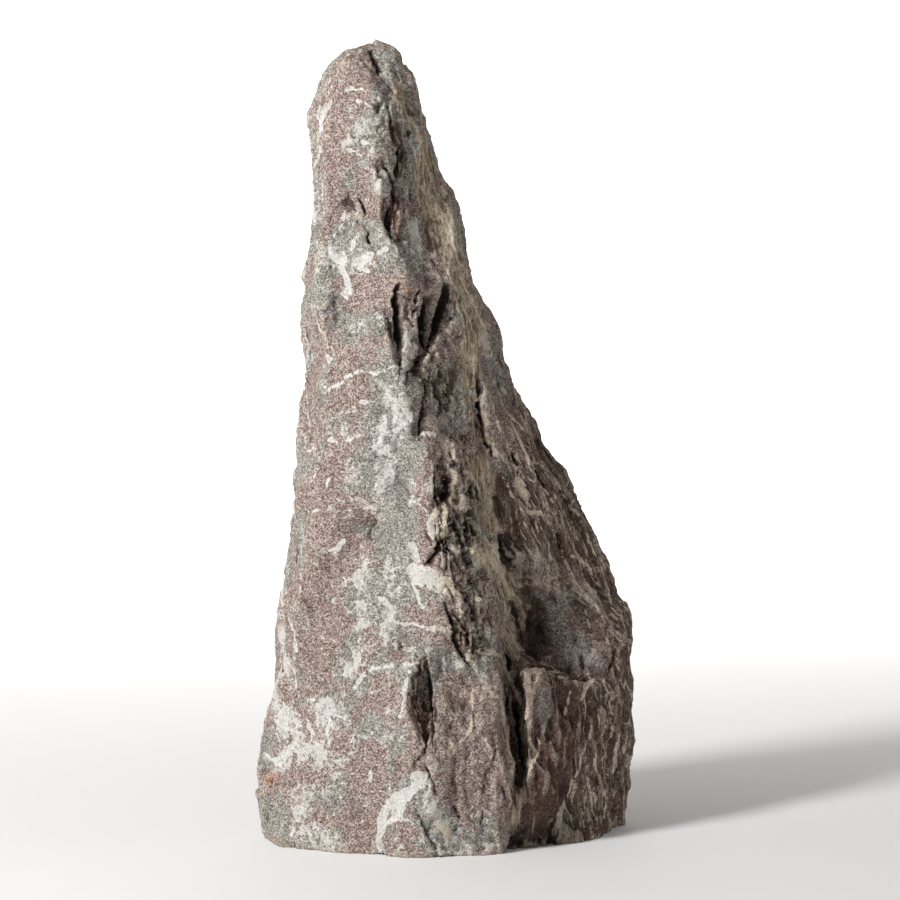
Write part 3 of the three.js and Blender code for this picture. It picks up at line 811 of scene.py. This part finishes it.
    "corner seam, fifth": ([(622, 690), (624, 704), (632, 712)], 2.4),
    "corner seam, sixth": ([(621, 730), (616, 748), (614, 764), (613, 778)], 5),
    "corner seam, foot": ([(593, 758), (598, 776), (606, 798), (604, 818)], 5),
    "corner seam, low": ([(586, 776), (591, 792), (592, 812)], 3),
}
VEIN_EDGE = 3.0  # millimetres inside a vein that still belong to its edge
SHORTENING = (3.0 * MM, 2.0 * MM)  # longest triangle side along a vein's edge, in each of two passes


def finest(mesh, near_edge, longest):
    """Cuts the skin finer where a vein's edge is near, wherever its triangles are longer than a size."""
    with opened(mesh) as skin:
        edges = [edge for edge in edges_between(skin, near_edge) if edge.calc_length() > longest]
        bmesh.ops.subdivide_edges(skin, edges=edges, cuts=1)
        bmesh.ops.triangulate(skin, faces=[face for face in skin.faces if len(face.verts) > 3])


SURFACE = surface_of(monolith)
for longest in SHORTENING:
    calcite = inside(jagged(places(monolith.data)), VEINS)
    finest(monolith.data, (calcite > -longest / MM) & (calcite < VEIN_EDGE), longest)
for face in monolith.data.polygons:
    face.use_smooth = True
points = places(monolith.data)
normals = outward(monolith.data)
shaken = jagged(points)
calcite = inside(shaken, VEINS)
print(len(VEINS), "veins laid,", len(monolith.data.polygons), "triangles")

# %% [markdown]
# ## Patches of colour and painted shade
# Each kind of rock has its own strokes: green and mauve marble, clouds of white in it, ochre along the
# valley, even rock without streaks, and rust. The rest is painted light: dark and gloomy patches are painted
# shade, black ones are painted shadow at the bottom of pockets, and a last kind lifts the darker right side,
# partly painted shade, where more light falls. The strokes are broad and their edges soft: the number before
# them says over how many millimetres they fade. Only how strongly each kind is present is kept for the
# material.

# %% Patches
PATCHES = {
    "green": (14, {
        "crown": ([(384, 56), (390, 78)], 16),
        "upper": ([(350, 126), (368, 138)], 22),
        "ridge": ([(368, 160), (376, 184)], 14),
        "shoulder": ([(345, 225), (340, 245), (312, 300)], 22),
        "neck": ([(416, 214), (412, 252), (404, 262)], 16),
        "right of the slits": ([(452, 366), (450, 392)], 18),
        "valley": ([(440, 402), (458, 412)], 18),
        "middle": ([(408, 378), (392, 430), (398, 520), (395, 600)], 52),
        "left": ([(330, 428), (345, 425)], 18),
        "lower": ([(352, 640), (335, 668)], 24),
        "frame": ([(372, 716), (366, 770)], 30),
        "knobs": ([(450, 530), (452, 556)], 14),
        "knobs, low": ([(466, 592), (482, 606)], 22),
        "wedge": ([(478, 632), (492, 646)], 18),
        "foot": ([(282, 800), (282, 828)], 24),
        "foot, right": ([(420, 790), (432, 820), (446, 836)], 18),
        "block": ([(545, 706), (552, 740)], 14),
        "block, low": ([(578, 782), (572, 832)], 20),
        "flank": ([(500, 460), (512, 474)], 16),
        "bowl": ([(556, 636), (590, 656)], 36),
    }),
    "mauve": (14, {
        "crown": ([(336, 74), (362, 72), (350, 100), (336, 134)], 40),
        "neck": ([(326, 170), (350, 186), (335, 214)], 34),
        "shoulder": ([(316, 290), (338, 284)], 16),
        "shoulder, right": ([(372, 275), (382, 300)], 20),
        "left": ([(322, 345), (316, 375), (300, 420)], 24),
        "left band": ([(322, 480), (322, 560), (328, 640), (316, 684)], 44),
        "frame": ([(388, 684), (374, 712)], 34),
        "foot": ([(372, 752), (364, 800), (362, 845)], 40),
        "front foot": ([(446, 680), (456, 760), (470, 820)], 60),
        "front foot, right": ([(494, 690), (490, 790)], 34),
        "red spot": ([(400, 284), (412, 290)], 12),
        "red knob": ([(490, 600), (498, 632)], 16),
        "block": ([(562, 690), (570, 740), (548, 800)], 40),
        "flank": ([(490, 410), (520, 420), (545, 470)], 22),
    }),
    "cloud": (10, {
        "crown, left": ([(312, 168), (308, 200), (314, 225)], 12),
        "crown": ([(340, 150), (366, 118)], 14),
        "ridge window": ([(384, 180), (374, 194)], 13),
        "ridge": ([(412, 225), (418, 250)], 15),
        "shoulder": ([(326, 250), (345, 264), (372, 262)], 22),
        "shoulder, low": ([(346, 275), (348, 296)], 12),
        "rib": ([(408, 330), (412, 352)], 16),
        "under the slits": ([(390, 392), (396, 420), (396, 450)], 12),
        "upper flank": ([(484, 334), (488, 356)], 12),
        "left strip": ([(308, 120), (304, 230), (298, 330), (292, 430), (284, 520)], 16),
        "centre": ([(382, 420), (380, 445), (388, 470), (380, 490)], 20),
        "left edge": ([(284, 585), (281, 640), (290, 690)], 14),
        "spine": ([(364, 560), (360, 600), (365, 640), (348, 676)], 16),
        "spine, right": ([(388, 560), (395, 600), (384, 640)], 16),
        "pale corner": ([(272, 700), (288, 722), (300, 748), (280, 762)], 34),
        "pale corner, right": ([(310, 696), (328, 716), (322, 745), (334, 775)], 28),
        "pale foot": ([(300, 790), (306, 832), (336, 848)], 26),
        "branch": ([(476, 672), (492, 694)], 12),
        "bowl": ([(566, 650), (596, 660)], 22),
        "foot, front": ([(426, 800), (436, 818), (450, 838)], 20),
        "foot edge": ([(440, 850), (470, 852), (500, 846)], 10),
    }),
    "ochre": (7, {
        "crown": ([(398, 84), (402, 104), (410, 126)], 17),
        "neck": ([(420, 164), (428, 196), (438, 224)], 38),
        "upper flank": ([(440, 222), (452, 250), (460, 276)], 42),
        "neck, edge": ([(420, 136), (438, 190), (456, 240), (470, 290), (486, 350)], 20),
        "slits": ([(458, 272), (468, 300), (480, 334)], 46),
        "slits, low": ([(468, 338), (470, 370), (470, 398)], 26),
        "valley": ([(472, 414), (478, 442)], 13),
        "fan": ([(472, 460), (482, 480), (487, 504), (489, 528)], 28),
        "bundle, top": ([(478, 546), (492, 560), (502, 574)], 34),
        "bundle": ([(502, 576), (506, 600), (510, 625), (512, 652)], 22),
        "strip": ([(518, 574), (524, 600), (521, 630)], 9),
        "wall": ([(508, 640), (516, 655)], 16),
        "cleft": ([(518, 772), (520, 800), (515, 828)], 13),
        "foot": ([(502, 690), (508, 740), (514, 780)], 9),
    }),
    "even": (10, {
        "block": ([(528, 680), (556, 690), (558, 760), (536, 838)], 68),
        "block foot": ([(520, 800), (530, 845)], 40),
        "bowl": ([(536, 600), (562, 630), (596, 655)], 74),
        "front foot": ([(450, 690), (456, 760), (472, 826)], 60),
    }),
    # Painted shadow: pockets painted nearly black.
    "black": (4, {
        "crown": ([(370, 58), (376, 70)], 6),
        "shoulder": ([(391, 118), (393, 140)], 5),
        "shoulder, right": ([(410, 131), (405, 138)], 5),
        "shoulder splinter": ([(403, 150), (400, 160), (397, 170)], 7),
        "ridge foot": ([(392, 196), (393, 206)], 6),
        "ridge foot, low": ([(388, 212), (388, 228), (394, 240)], 6),
        "first pocket": ([(396, 294), (397, 318), (398, 340)], 8),
        "second pocket": ([(424, 304), (423, 322), (423, 338)], 5),
        "third pocket": ([(447, 288), (445, 304), (439, 320), (432, 342)], 9),
        "knob hollow": ([(447, 482), (443, 500)], 6),
        "knobs": ([(474, 488), (478, 500)], 8),
        "knobs, top": ([(470, 420), (472, 430)], 5),
        "dark pocket": ([(470, 522), (472, 534), (474, 542)], 11),
        "jagged": ([(438, 546), (432, 556)], 7),
        "green pocket": ([(506, 538), (508, 552), (512, 564)], 22),
        "green pocket, low": ([(510, 602), (516, 616)], 10),
        "valley": ([(494, 498), (498, 516)], 12),
        "cleft, top": ([(507, 656), (509, 668)], 8),
        "cleft": ([(516, 704), (520, 735), (524, 766)], 11),
        "narrow cleft": ([(505, 682), (507, 712)], 5),
        "notch": ([(428, 664), (431, 690), (433, 720), (432, 746)], 4),
        "block": ([(518, 672), (519, 690)], 9),
        "block foot": ([(512, 846), (540, 843), (572, 838)], 14),
        "flank chip": ([(538, 476), (543, 486)], 8),
        "corner": ([(613, 652), (610, 668)], 5),
    }),
    # Painted shade in the hollow, the notch and under the block.
    "gloom": (16, {
        "hollow": ([(512, 552), (520, 580), (528, 606), (532, 640)], 15),
        "hollow, low": ([(536, 600), (540, 630), (532, 652)], 12),
        "block foot": ([(516, 846), (545, 842), (580, 834)], 44),
        "block, left": ([(520, 780), (516, 812), (512, 840)], 12),
        "notch": ([(429, 668), (429, 690), (431, 712), (433, 738)], 5),
    }),
    # Where more light falls, the darker right side, partly painted shade, is lifted.
    "clean": (14, {
        "bowl": ([(560, 620), (580, 648), (600, 655)], 50),
        "neck": ([(492, 596), (500, 622), (506, 648)], 26),
        "slab": ([(540, 560), (556, 600), (566, 620)], 34),
        "flank, top": ([(496, 430), (512, 440), (522, 456)], 28),
        "block": ([(536, 680), (546, 700), (552, 735)], 12),
    }),
    # Painted shade.
    "dark": (8, {
        "neck": ([(430, 222), (432, 250)], 12),
        "slits": ([(452, 370), (446, 396)], 14),
        "knobs": ([(448, 470), (444, 500), (450, 524)], 12),
        "knobs, right": ([(468, 524), (476, 545)], 14),
        "valley": ([(500, 480), (508, 510), (516, 536)], 30),
        "slab edge": ([(536, 440), (566, 490), (590, 552)], 12),
        "notch wall": ([(423, 660), (418, 680), (417, 700), (421, 720), (427, 744)], 13),
        "shoulder": ([(394, 116), (398, 138), (404, 158), (396, 180)], 13),
        "shoulder, low": ([(396, 190), (394, 214), (398, 242)], 11),
        "knobs, middle": ([(444, 530), (438, 548), (430, 562)], 12),
        "knobs, low": ([(452, 612), (458, 634), (464, 650)], 12),
        "bundle": ([(508, 604), (516, 624), (522, 646)], 10),
        "block": ([(562, 684), (572, 720), (562, 764), (540, 836)], 66),
        "block foot": ([(508, 846), (540, 838), (590, 830)], 34),
        "flank foot": ([(606, 700), (614, 760), (600, 820)], 22),
    }),
    "rust": (4, {
        "foot": ([(266, 781), (276, 776)], 11),
        "foot line": ([(263, 838), (279, 840)], 4),
        "pit": ([(263, 763), (266, 764)], 4),
        "shoulder": ([(371, 257), (377, 262)], 7),
        "ridge": ([(404, 288), (412, 292)], 6),
    }),
}
FADE_INSIDE = 0.6  # share of the soft width that lies inside the stroke


def keep(mesh, name, values):
    """Stores one number for each point of the skin, for the material to read."""
    layer = mesh.attributes.new(name, "FLOAT", "POINT")
    layer.data.foreach_set("value", values.astype(np.float32))


SURFACE = surface_of(monolith)
keep(monolith.data, "calcite", calcite)
for name, (soft, strokes) in PATCHES.items():
    keep(monolith.data, name, fade(inside(shaken, strokes), -soft, soft * FADE_INSIDE))
nearest = [even_points.find(place)[1] for place in points.tolist()]
keep(monolith.data, "under", under[nearest])
# The share of the way down a crack, from which the material paints shadow.
keep(monolith.data, "slit", slit[nearest])
knobbly, plain, flank = characters(points, normals)
keep(monolith.data, "flank", flank)
keep(monolith.data, "knobbly", knobbly)
keep(monolith.data, "right_side", rightness(points))
streaky = (1 - plain) * (0.35 + 0.65 * fade(points[:, 0], 0.02, 0.07))
keep(monolith.data, "streaky", streaky)
# How low a point is: the darker right side, partly painted shade, is darkest low down.
keep(monolith.data, "low", 1 - fade(points[:, 2], 0.42, 0.62))
print("kept:", ", ".join(layer.name for layer in monolith.data.attributes if layer.data_type == "FLOAT"))

# %% [markdown]
# ## Writing materials as sums
# A material is a net of nodes. Writing it as Python expressions keeps it readable: a wire stands for one
# socket, and adding or multiplying wires adds the Math nodes. Everything else goes through one method.

# %% Wires and finishes
class Wire:
    """A socket of a material's node net, which can be used in sums."""

    def __init__(self, finish, socket):
        self.finish = finish
        self.socket = socket

    def sum(self, operation, first, second):
        return self.finish.node("ShaderNodeMath", {"operation": operation}, {0: first, 1: second})

    def __add__(self, other):
        return self.sum("ADD", self, other)

    def __radd__(self, other):
        return self.sum("ADD", other, self)

    def __sub__(self, other):
        return self.sum("SUBTRACT", self, other)

    def __rsub__(self, other):
        return self.sum("SUBTRACT", other, self)

    def __mul__(self, other):
        return self.sum("MULTIPLY", self, other)

    def __rmul__(self, other):
        return self.sum("MULTIPLY", other, self)

    def __truediv__(self, other):
        return self.sum("DIVIDE", self, other)


class Finish:
    """A material under construction."""

    def __init__(self, name):
        self.material = bpy.data.materials.new(name)
        self.material.use_nodes = True
        self.tree = self.material.node_tree
        self.shader = self.tree.nodes["Principled BSDF"]

    def node(self, kind, settings=None, sockets=None, take=0):
        """Adds a node, applies its settings, fills its sockets and returns one of its outputs."""
        made = self.tree.nodes.new(kind)
        for name, value in (settings or {}).items():
            if name == "stops":
                self.stops(made.color_ramp, value)
            else:
                setattr(made, name, value)
        for name, value in (sockets or {}).items():
            self.feed(made.inputs[name], value)
        return Wire(self, made.outputs[take])

    def feed(self, socket, value):
        if isinstance(value, Wire):
            self.tree.links.new(value.socket, socket)
        else:
            socket.default_value = value

    def stops(self, ramp, stops):
        while len(ramp.elements) < len(stops):
            ramp.elements.new(0.5)
        for element, (place, colour) in zip(ramp.elements, stops):
            element.position = place
            element.color = (*colour, 1)

    def mix(self, share, first, second, blend="MIX"):
        """Mixes two colours."""
        first, second = [(*c, 1) if isinstance(c, tuple) else c for c in (first, second)]
        settings = {"data_type": "RGBA", "blend_type": blend}
        return self.node("ShaderNodeMix", settings, {0: share, 6: first, 7: second}, take=2)

    def step(self, value, low, high):
        """0 below low, 1 above high, with a smooth rise between."""
        sockets = {0: value, 1: low, 2: high, 3: 0.0, 4: 1.0}
        return self.node("ShaderNodeMapRange", {"interpolation_type": "SMOOTHSTEP"}, sockets)

    def noise(self, vector, size, detail=3.0, roughness=0.55, distortion=0.0):
        sockets = {"Vector": vector, "Scale": 1 / size, "Detail": detail, "Roughness": roughness}
        sockets["Distortion"] = distortion
        return self.node("ShaderNodeTexNoise", {"noise_dimensions": "3D"}, sockets)

    def attribute(self, name):
        return self.node("ShaderNodeAttribute", {"attribute_name": name}, take="Fac")


# %% [markdown]
# ## Crystals
# Marble is a mass of crystals, here about a millimetre across. Each cell of a Voronoi pattern is one crystal
# and takes a lightness of its own. For each kind of rock a ramp turns the lightness into a colour, from the
# darkest crystals to the palest. A speckled photo texture would stretch round the corners. This doesn't.

# %% Crystals
GRAIN = 1.0 * MM
COARSE_GRAIN = 1.8 * MM
COARSE_SHARE = 0.4

MAUVE = [(0.12, (0.055, 0.035, 0.030)), (0.5, (0.305, 0.214, 0.184)), (0.88, (0.79, 0.68, 0.615))]
GREEN = [(0.12, (0.060, 0.056, 0.046)), (0.5, (0.29, 0.270, 0.235)), (0.88, (0.74, 0.72, 0.66))]
WHITE = [(0.05, (0.36, 0.335, 0.29)), (0.4, (0.70, 0.68, 0.63)), (0.9, (0.86, 0.85, 0.82))]
OCHRE = [(0.12, (0.075, 0.045, 0.025)), (0.5, (0.42, 0.31, 0.19)), (0.88, (0.84, 0.72, 0.53))]
PURE = [(0.05, (0.38, 0.35, 0.31)), (0.35, (0.73, 0.71, 0.66)), (0.9, (0.90, 0.89, 0.86))]
IVORY = [(0.05, (0.30, 0.23, 0.15)), (0.4, (0.66, 0.54, 0.39)), (0.9, (0.90, 0.82, 0.68))]
RUST = [(0.12, (0.10, 0.03, 0.015)), (0.5, (0.42, 0.20, 0.12)), (0.88, (0.72, 0.46, 0.34))]
CREAM = [(0.12, (0.24, 0.18, 0.13)), (0.5, (0.62, 0.52, 0.40)), (0.88, (0.92, 0.86, 0.74))]

marble = Finish("marble")
place = marble.node("ShaderNodeTexCoord", take="Object")


def speckle(size):
    """Crystals of one size, each with a lightness of its own, from 0 to 1."""
    cells = {"Vector": place, "Scale": 1 / size}
    crystal = marble.node("ShaderNodeTexVoronoi", {"feature": "F1"}, cells, take="Color")
    return marble.node("ShaderNodeSeparateColor", {}, {0: crystal}, take=0)


print("grain: %.1f mm, and %.1f mm over %.0f%% of it" % (GRAIN / MM, COARSE_GRAIN / MM, COARSE_SHARE * 100))

# %% [markdown]
# ## Patterns
# Three patterns serve all over the stone. Noise read at places squeezed along the beds gives streaks, which
# lean in the right flank and stand upright elsewhere. The borders of bent Voronoi cells give a net of thin
# cracks, as calcite fills them. A noise crosses its middle along winding lines, which gives loose threads.

# %% Patterns
def beds(stretch):
    """Places squeezed along the beds, so that a pattern read at them is drawn out along the beds."""
    lean = {"Vector": place, "Rotation": (0, -math.atan(FLANK_LEAN), 0), "Scale": (1, 1, stretch)}
    leaning = marble.node("ShaderNodeMapping", {"vector_type": "TEXTURE"}, lean)
    stand = {"Vector": place, "Scale": (1, 1, stretch)}
    upright = marble.node("ShaderNodeMapping", {"vector_type": "TEXTURE"}, stand)
    return marble.node("ShaderNodeMix", {"data_type": "VECTOR"}, {0: flank, 4: upright, 5: leaning}, take=1)


def crackle(size, thin, thick, wander):
    """A net of thin white lines: 1 on a line, 0 off it."""
    waves = {"Vector": place, "Scale": 1 / size}
    bend = marble.node("ShaderNodeTexNoise", {"noise_dimensions": "3D"}, waves, take="Color")
    shift = marble.node("ShaderNodeVectorMath", {"operation": "SCALE"}, {0: bend, "Scale": wander})
    bent = marble.node("ShaderNodeVectorMath", {"operation": "ADD"}, {0: place, 1: shift})
    edges = {"Vector": bent, "Scale": 1 / size}
    away = marble.node("ShaderNodeTexVoronoi", {"feature": "DISTANCE_TO_EDGE"}, edges)
    return 1 - marble.step(away * (size / MM), thin, thick)


def threads(vector, size, steepness, bend):
    """Thin winding lines, where a noise crosses its middle: 1 on a line, 0 off it."""
    wave = marble.noise(vector, size, detail=2, roughness=0.5, distortion=bend)
    off = marble.node("ShaderNodeMath", {"operation": "ABSOLUTE"}, {0: wave - 0.5})
    return marble.step(1 - off * steepness, 0.0, 0.7)


flank = marble.attribute("flank")
right_side = marble.attribute("right_side")
knobs = marble.attribute("knobbly")
streaky = marble.attribute("streaky")
patchy = {name: marble.attribute(name) for name in PATCHES}
drift = marble.noise(place, 55 * MM, detail=4, roughness=0.6, distortion=0.4)
fray = marble.noise(place, 7 * MM, detail=4, roughness=0.7)
cloud = marble.noise(place, 26 * MM, detail=5, roughness=0.72, distortion=0.6)
blotch = marble.noise(place, 15 * MM, detail=3, roughness=0.6, distortion=0.8)
streak = marble.noise(beds(6), 5 * MM, detail=4, roughness=0.65, distortion=0.9)
print("patterns:", len(marble.tree.nodes), "nodes")

# %% [markdown]
# ## The rock itself
# The rock drifts between mauve and grey-green in big zones, nudged one way or the other by the patches. Where
# it is streaky, its crystals give way to fibres along the beds. Ochre and rust lie over it in patches with
# frayed edges. At the back, which has no patches of its own, a broad noise makes the zones.

# %% Rock
SEAM_BROWN = (0.16, 0.11, 0.08)
BACK = 60 * MM  # from here on, counted from the middle, a point is wholly at the back
TURN = 0.5  # where mauve turns to green
TURN_EDGE = 0.05

fibre = marble.step(streak, 0.32, 0.68)
even = patchy["even"]
fibrous = marble.step(patchy["ochre"], 0.15, 0.6)
grain = speckle(GRAIN) * (1 - COARSE_SHARE) + speckle(COARSE_GRAIN) * COARSE_SHARE
thread = streaky * (1 - even) * (0.2 + 0.8 * marble.step(drift, 0.42, 0.56)) * 0.22
light = grain + (fibre - grain) * (1 - (1 - thread) * (1 - fibrous * 0.35))


def crystals(stops):
    """The colours of one kind of rock, crystal by crystal."""
    return marble.node("ShaderNodeValToRGB", {"stops": stops}, {0: light})


across = marble.node("ShaderNodeSeparateXYZ", {}, {0: place}, take=0)
inward = marble.node("ShaderNodeSeparateXYZ", {}, {0: place}, take=1)
behind = marble.step(inward, 0.0, BACK)
zone = (marble.noise(place, 160 * MM, detail=2) - 0.5) * behind
hue = drift + zone * 0.5 + (patchy["green"] - patchy["mauve"]) * 0.16 + (fray - 0.5) * 0.12 - 0.012
greenness = marble.step(hue, TURN - TURN_EDGE, TURN + TURN_EDGE)
rock = marble.mix(greenness, crystals(MAUVE), crystals(GREEN))
ochre = marble.step(patchy["ochre"] + (fray - 0.5) * 0.8 + (streak - 0.5) * 0.6, 0.2, 0.6)
rock = marble.mix(ochre * 0.9, rock, crystals(OCHRE))
seams = threads(beds(6), 13 * MM, 10, 1.0) * fibrous * 0.85
rock = marble.mix(seams, rock, SEAM_BROWN)
rusty = marble.step(patchy["rust"] + (fray - 0.5), 0.3, 0.8) * 0.9
rock = marble.mix(rusty, rock, crystals(RUST))
print("rock:", len(marble.tree.nodes), "nodes")

# %% [markdown]
# ## White calcite
# A cloudy noise, the mist, says where calcite has soaked in. Where it is thickest the rock is mottled white.
# Where it is thinner there is only a net of fine lines and a lace of threads. The big veins come from the
# strokes, with edges that fray by a few millimetres.

# %% White
VEIN_FRAY = 4.5  # millimetres

mist = cloud * 0.62 + fray * 0.38 + patchy["cloud"] * 0.1 - patchy["mauve"] * 0.02 - 0.006
mist = mist + zone * 0.22
far_net = crackle(120 * MM, 0.5, 2.0, 100 * MM) * behind * marble.step(mist, 0.46, 0.52)
mottle = marble.step(mist, 0.56, 0.62) * (0.95 - right_side * 0.55)
net = crackle(46 * MM, 0.4, 1.4, 48 * MM) * marble.step(mist, 0.51, 0.56)
lace = threads(place, 15 * MM, 20, 1.6) * marble.step(mist, 0.515, 0.56) * 0.85
white = marble.step(marble.attribute("calcite") + (fray - 0.5) * VEIN_FRAY, -1.0, 0.3) * 0.94
colour = marble.mix(mottle, rock, crystals(WHITE))
colour = marble.mix((net + lace + far_net) * (0.85 - right_side * 0.6), colour, crystals(WHITE))
print("white:", len(marble.tree.nodes), "nodes")

# %% [markdown]
# ## Age, streaks, dirt and painted light
# The right side is darker, partly in its own colour and partly as painted shade, most of all low down, and
# carries thin cream streaks along the beds. The veins lie over both, pure white at the left and ivory at the
# right. Wherever the skin lies under its surroundings it is darkened, partly as dirt and partly as painted
# shade. Cracks get painted shadow that is nearly black at the bottom, dark and gloomy patches are painted
# shade, and crests are made pale, partly as wear and partly as a painted highlight.

# %% Age, dirt and painted light
# The tints multiply the colour: its own darker tone with painted shade, dirt with painted shade, painted
# shadow in cracks, and painted shade in hollows.
AGE_AND_SHADE_TINT = (0.33, 0.235, 0.21)
DIRT_AND_SHADE_TINT = (0.12, 0.09, 0.075)
CRACK_SHADOW_TINT = (0.06, 0.04, 0.035)
PAINTED_GLOOM_TINT = (0.16, 0.11, 0.10)

# The dark patches are painted shade.
shadow = marble.step(patchy["dark"] + (fray - 0.5) * 0.7, 0.25, 0.8) * (1 - ochre * 0.5)
murk = knobs * marble.step(blotch, 0.56, 0.44) * 0.8
bright = knobs * marble.step(blotch, 0.56, 0.60) * 0.8
flecks = marble.step(marble.noise(place, 6 * MM, detail=3, roughness=0.7), 0.48, 0.36)
flecks = flecks * (0.2 + 0.35 * right_side) * (1 - white)
# The right side is darker, partly its own colour and partly painted shade, most of all low down.
right_age_and_shade = right_side * (0.54 + 0.34 * marble.attribute("low")) * (1 - ochre * 0.7)
right_age_and_shade = right_age_and_shade * (1 - patchy["clean"] * 0.7)
age_and_shade = 1 - (1 - shadow) * (1 - right_age_and_shade) * (1 - murk) * (1 - flecks)
colour = marble.mix(age_and_shade, colour, AGE_AND_SHADE_TINT, "MULTIPLY")
colour = marble.mix(bright, colour, crystals(CREAM))
wisps = threads(beds(5), 28 * MM, 34, 1.0) * marble.step(fray, 0.40, 0.48)
fine_wisps = threads(beds(4), 13 * MM, 22, 1.4) * marble.step(cloud, 0.49, 0.55)
tan_wisps = threads(beds(7), 12 * MM, 11, 1.0) * fibrous * 0.75
cream = 1 - (1 - (wisps * 0.9 + fine_wisps * 0.4) * right_side * (1 - even)) * (1 - tan_wisps)
colour = marble.mix(cream, colour, crystals(CREAM))
warm = 1 - (1 - marble.step(across, -0.03, 0.0) * 0.85) * (1 - fibrous)
colour = marble.mix(white, colour, marble.mix(warm, crystals(PURE), crystals(IVORY)))
# Hollows under their surroundings are darkened, partly as dirt and partly as painted shade.
dirt_and_shade = marble.step(marble.attribute("under") + (fray - 0.5) * 1.5, 0.5, 3.0) * (0.8 - fibrous * 0.65)
# Cracks get painted shadow, nearly black near their bottom, and so do the pockets painted black.
pit = marble.step(marble.attribute("slit") + (fray - 0.5) * 0.3, 0.3, 0.7) * 0.88
pit = 1 - (1 - pit) * (1 - marble.step(patchy["black"] + (fray - 0.5) * 0.5, 0.3, 0.8) * 0.85)
# Gloomy hollows get painted shade.
gloom = patchy["gloom"] * 0.8
for share, tint in ((dirt_and_shade, DIRT_AND_SHADE_TINT), (pit, CRACK_SHADOW_TINT), (gloom, PAINTED_GLOOM_TINT)):
    colour = marble.mix(share, colour, tint, "MULTIPLY")
# Crests are made pale, partly as wear and partly as a painted highlight.
wear_and_highlight = marble.step(marble.attribute("under"), -0.5, -2.5) * (0.35 + 0.25 * knobs)
colour = marble.mix(wear_and_highlight, colour, crystals(CREAM))
print("age, dirt and painted light:", len(marble.tree.nodes), "nodes")

# %% [markdown]
# ## Fine relief
# The carved mesh stops at a couple of millimetres. What is finer is a bump: the crystals, the fibres, and a
# ridged noise for the small sharp edges of a broken face. Broken marble is dull all over.

# %% Relief and surface
RELIEF = 1.2 * MM

crags = {"Vector": beds(1.6), "Scale": 1 / (13 * MM), "Detail": 5.0, "Roughness": 0.62, "Distortion": 0.5}
crag = marble.node("ShaderNodeTexNoise", {"noise_type": "RIDGED_MULTIFRACTAL"}, crags)
relief = grain * 0.8 + fibre * thread * 1.5 + crag * (0.5 + 0.4 * streaky)
bump = marble.node("ShaderNodeBump", {}, {"Height": relief, "Strength": 0.9, "Distance": RELIEF})
marble.feed(marble.shader.inputs["Base Color"], colour)
marble.feed(marble.shader.inputs["Normal"], bump)
marble.shader.inputs["Roughness"].default_value = 0.8
marble.shader.inputs["Specular IOR Level"].default_value = 0.3
monolith.data.materials.clear()
monolith.data.materials.append(marble.material)
print("marble:", len(marble.tree.nodes), "nodes")

# %% [markdown]
# ## Floor and light
# The stone stands on a sweep of white paper that curves up behind it, as in a product studio, so that no
# horizon shows. A soft lamp high at the left front models the stone, a second one lights the paper behind,
# and the pale world fills the shadows.

# %% Studio
def sweep(width, ahead, behind, bend, height):
    """A sheet of paper: a strip of floor, pushed out sideways, with its far edge turned up into a wall."""
    sheet = bmesh.new()
    front = bmesh.ops.create_vert(sheet, co=(-width / 2, -ahead, 0))["vert"][0]
    back = bmesh.ops.create_vert(sheet, co=(-width / 2, behind, 0))["vert"][0]
    sheet.edges.new((front, back))
    bmesh.ops.spin(sheet, geom=[back], cent=(0, behind, bend), axis=(1, 0, 0), angle=math.pi / 2, steps=16)
    top = max(sheet.verts, key=lambda v: v.co.z)
    wall = bmesh.ops.extrude_vert_indiv(sheet, verts=[top])["verts"][0]
    wall.co.z += height
    side = bmesh.ops.extrude_edge_only(sheet, edges=sheet.edges[:])["geom"]
    edge = [part for part in side if isinstance(part, bmesh.types.BMVert)]
    bmesh.ops.translate(sheet, verts=edge, vec=(width, 0, 0))
    bmesh.ops.recalc_face_normals(sheet, faces=sheet.faces)
    mesh = bpy.data.meshes.new("studio_paper")
    sheet.to_mesh(mesh)
    sheet.free()
    for face in mesh.polygons:
        face.use_smooth = True
    made = bpy.data.objects.new("studio_paper", mesh)
    bpy.context.scene.collection.objects.link(made)
    return made


def lamp(name, place, target, size, power):
    """A square soft lamp that faces a target."""
    light = bpy.data.lights.new(name, "AREA")
    light.size = size
    light.energy = power
    made = bpy.data.objects.new(name, light)
    made.location = place
    made.rotation_euler = (Vector(target) - Vector(place)).to_track_quat("-Z", "Y").to_euler()
    bpy.context.scene.collection.objects.link(made)


backdrop = sweep(width=16, ahead=16.5, behind=5.5, bend=1.0, height=3)
paper = Finish("white_paper")
paper.shader.inputs["Base Color"].default_value = (0.95, 0.95, 0.95, 1)
paper.shader.inputs["Roughness"].default_value = 0.9
backdrop.data.materials.append(paper.material)
lamp("key lamp", place=(-3.1, -2.4, 2.8), target=(0, 0, 0.5), size=0.8, power=186)
lamp("paper lamp", place=(0, 3.4, 3.8), target=(0, 6.3, 1.2), size=3.5, power=300)
sky = bpy.data.worlds.new("studio")
sky.use_nodes = True
sky.node_tree.nodes["Background"].inputs["Color"].default_value = (1, 0.965, 0.925, 1)
sky.node_tree.nodes["Background"].inputs["Strength"].default_value = 0.28
bpy.context.scene.world = sky
bpy.context.scene.view_settings.view_transform = "Standard"
print("studio lit")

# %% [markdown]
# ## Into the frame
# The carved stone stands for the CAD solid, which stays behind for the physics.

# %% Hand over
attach(monolith, "root")
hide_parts("stone")
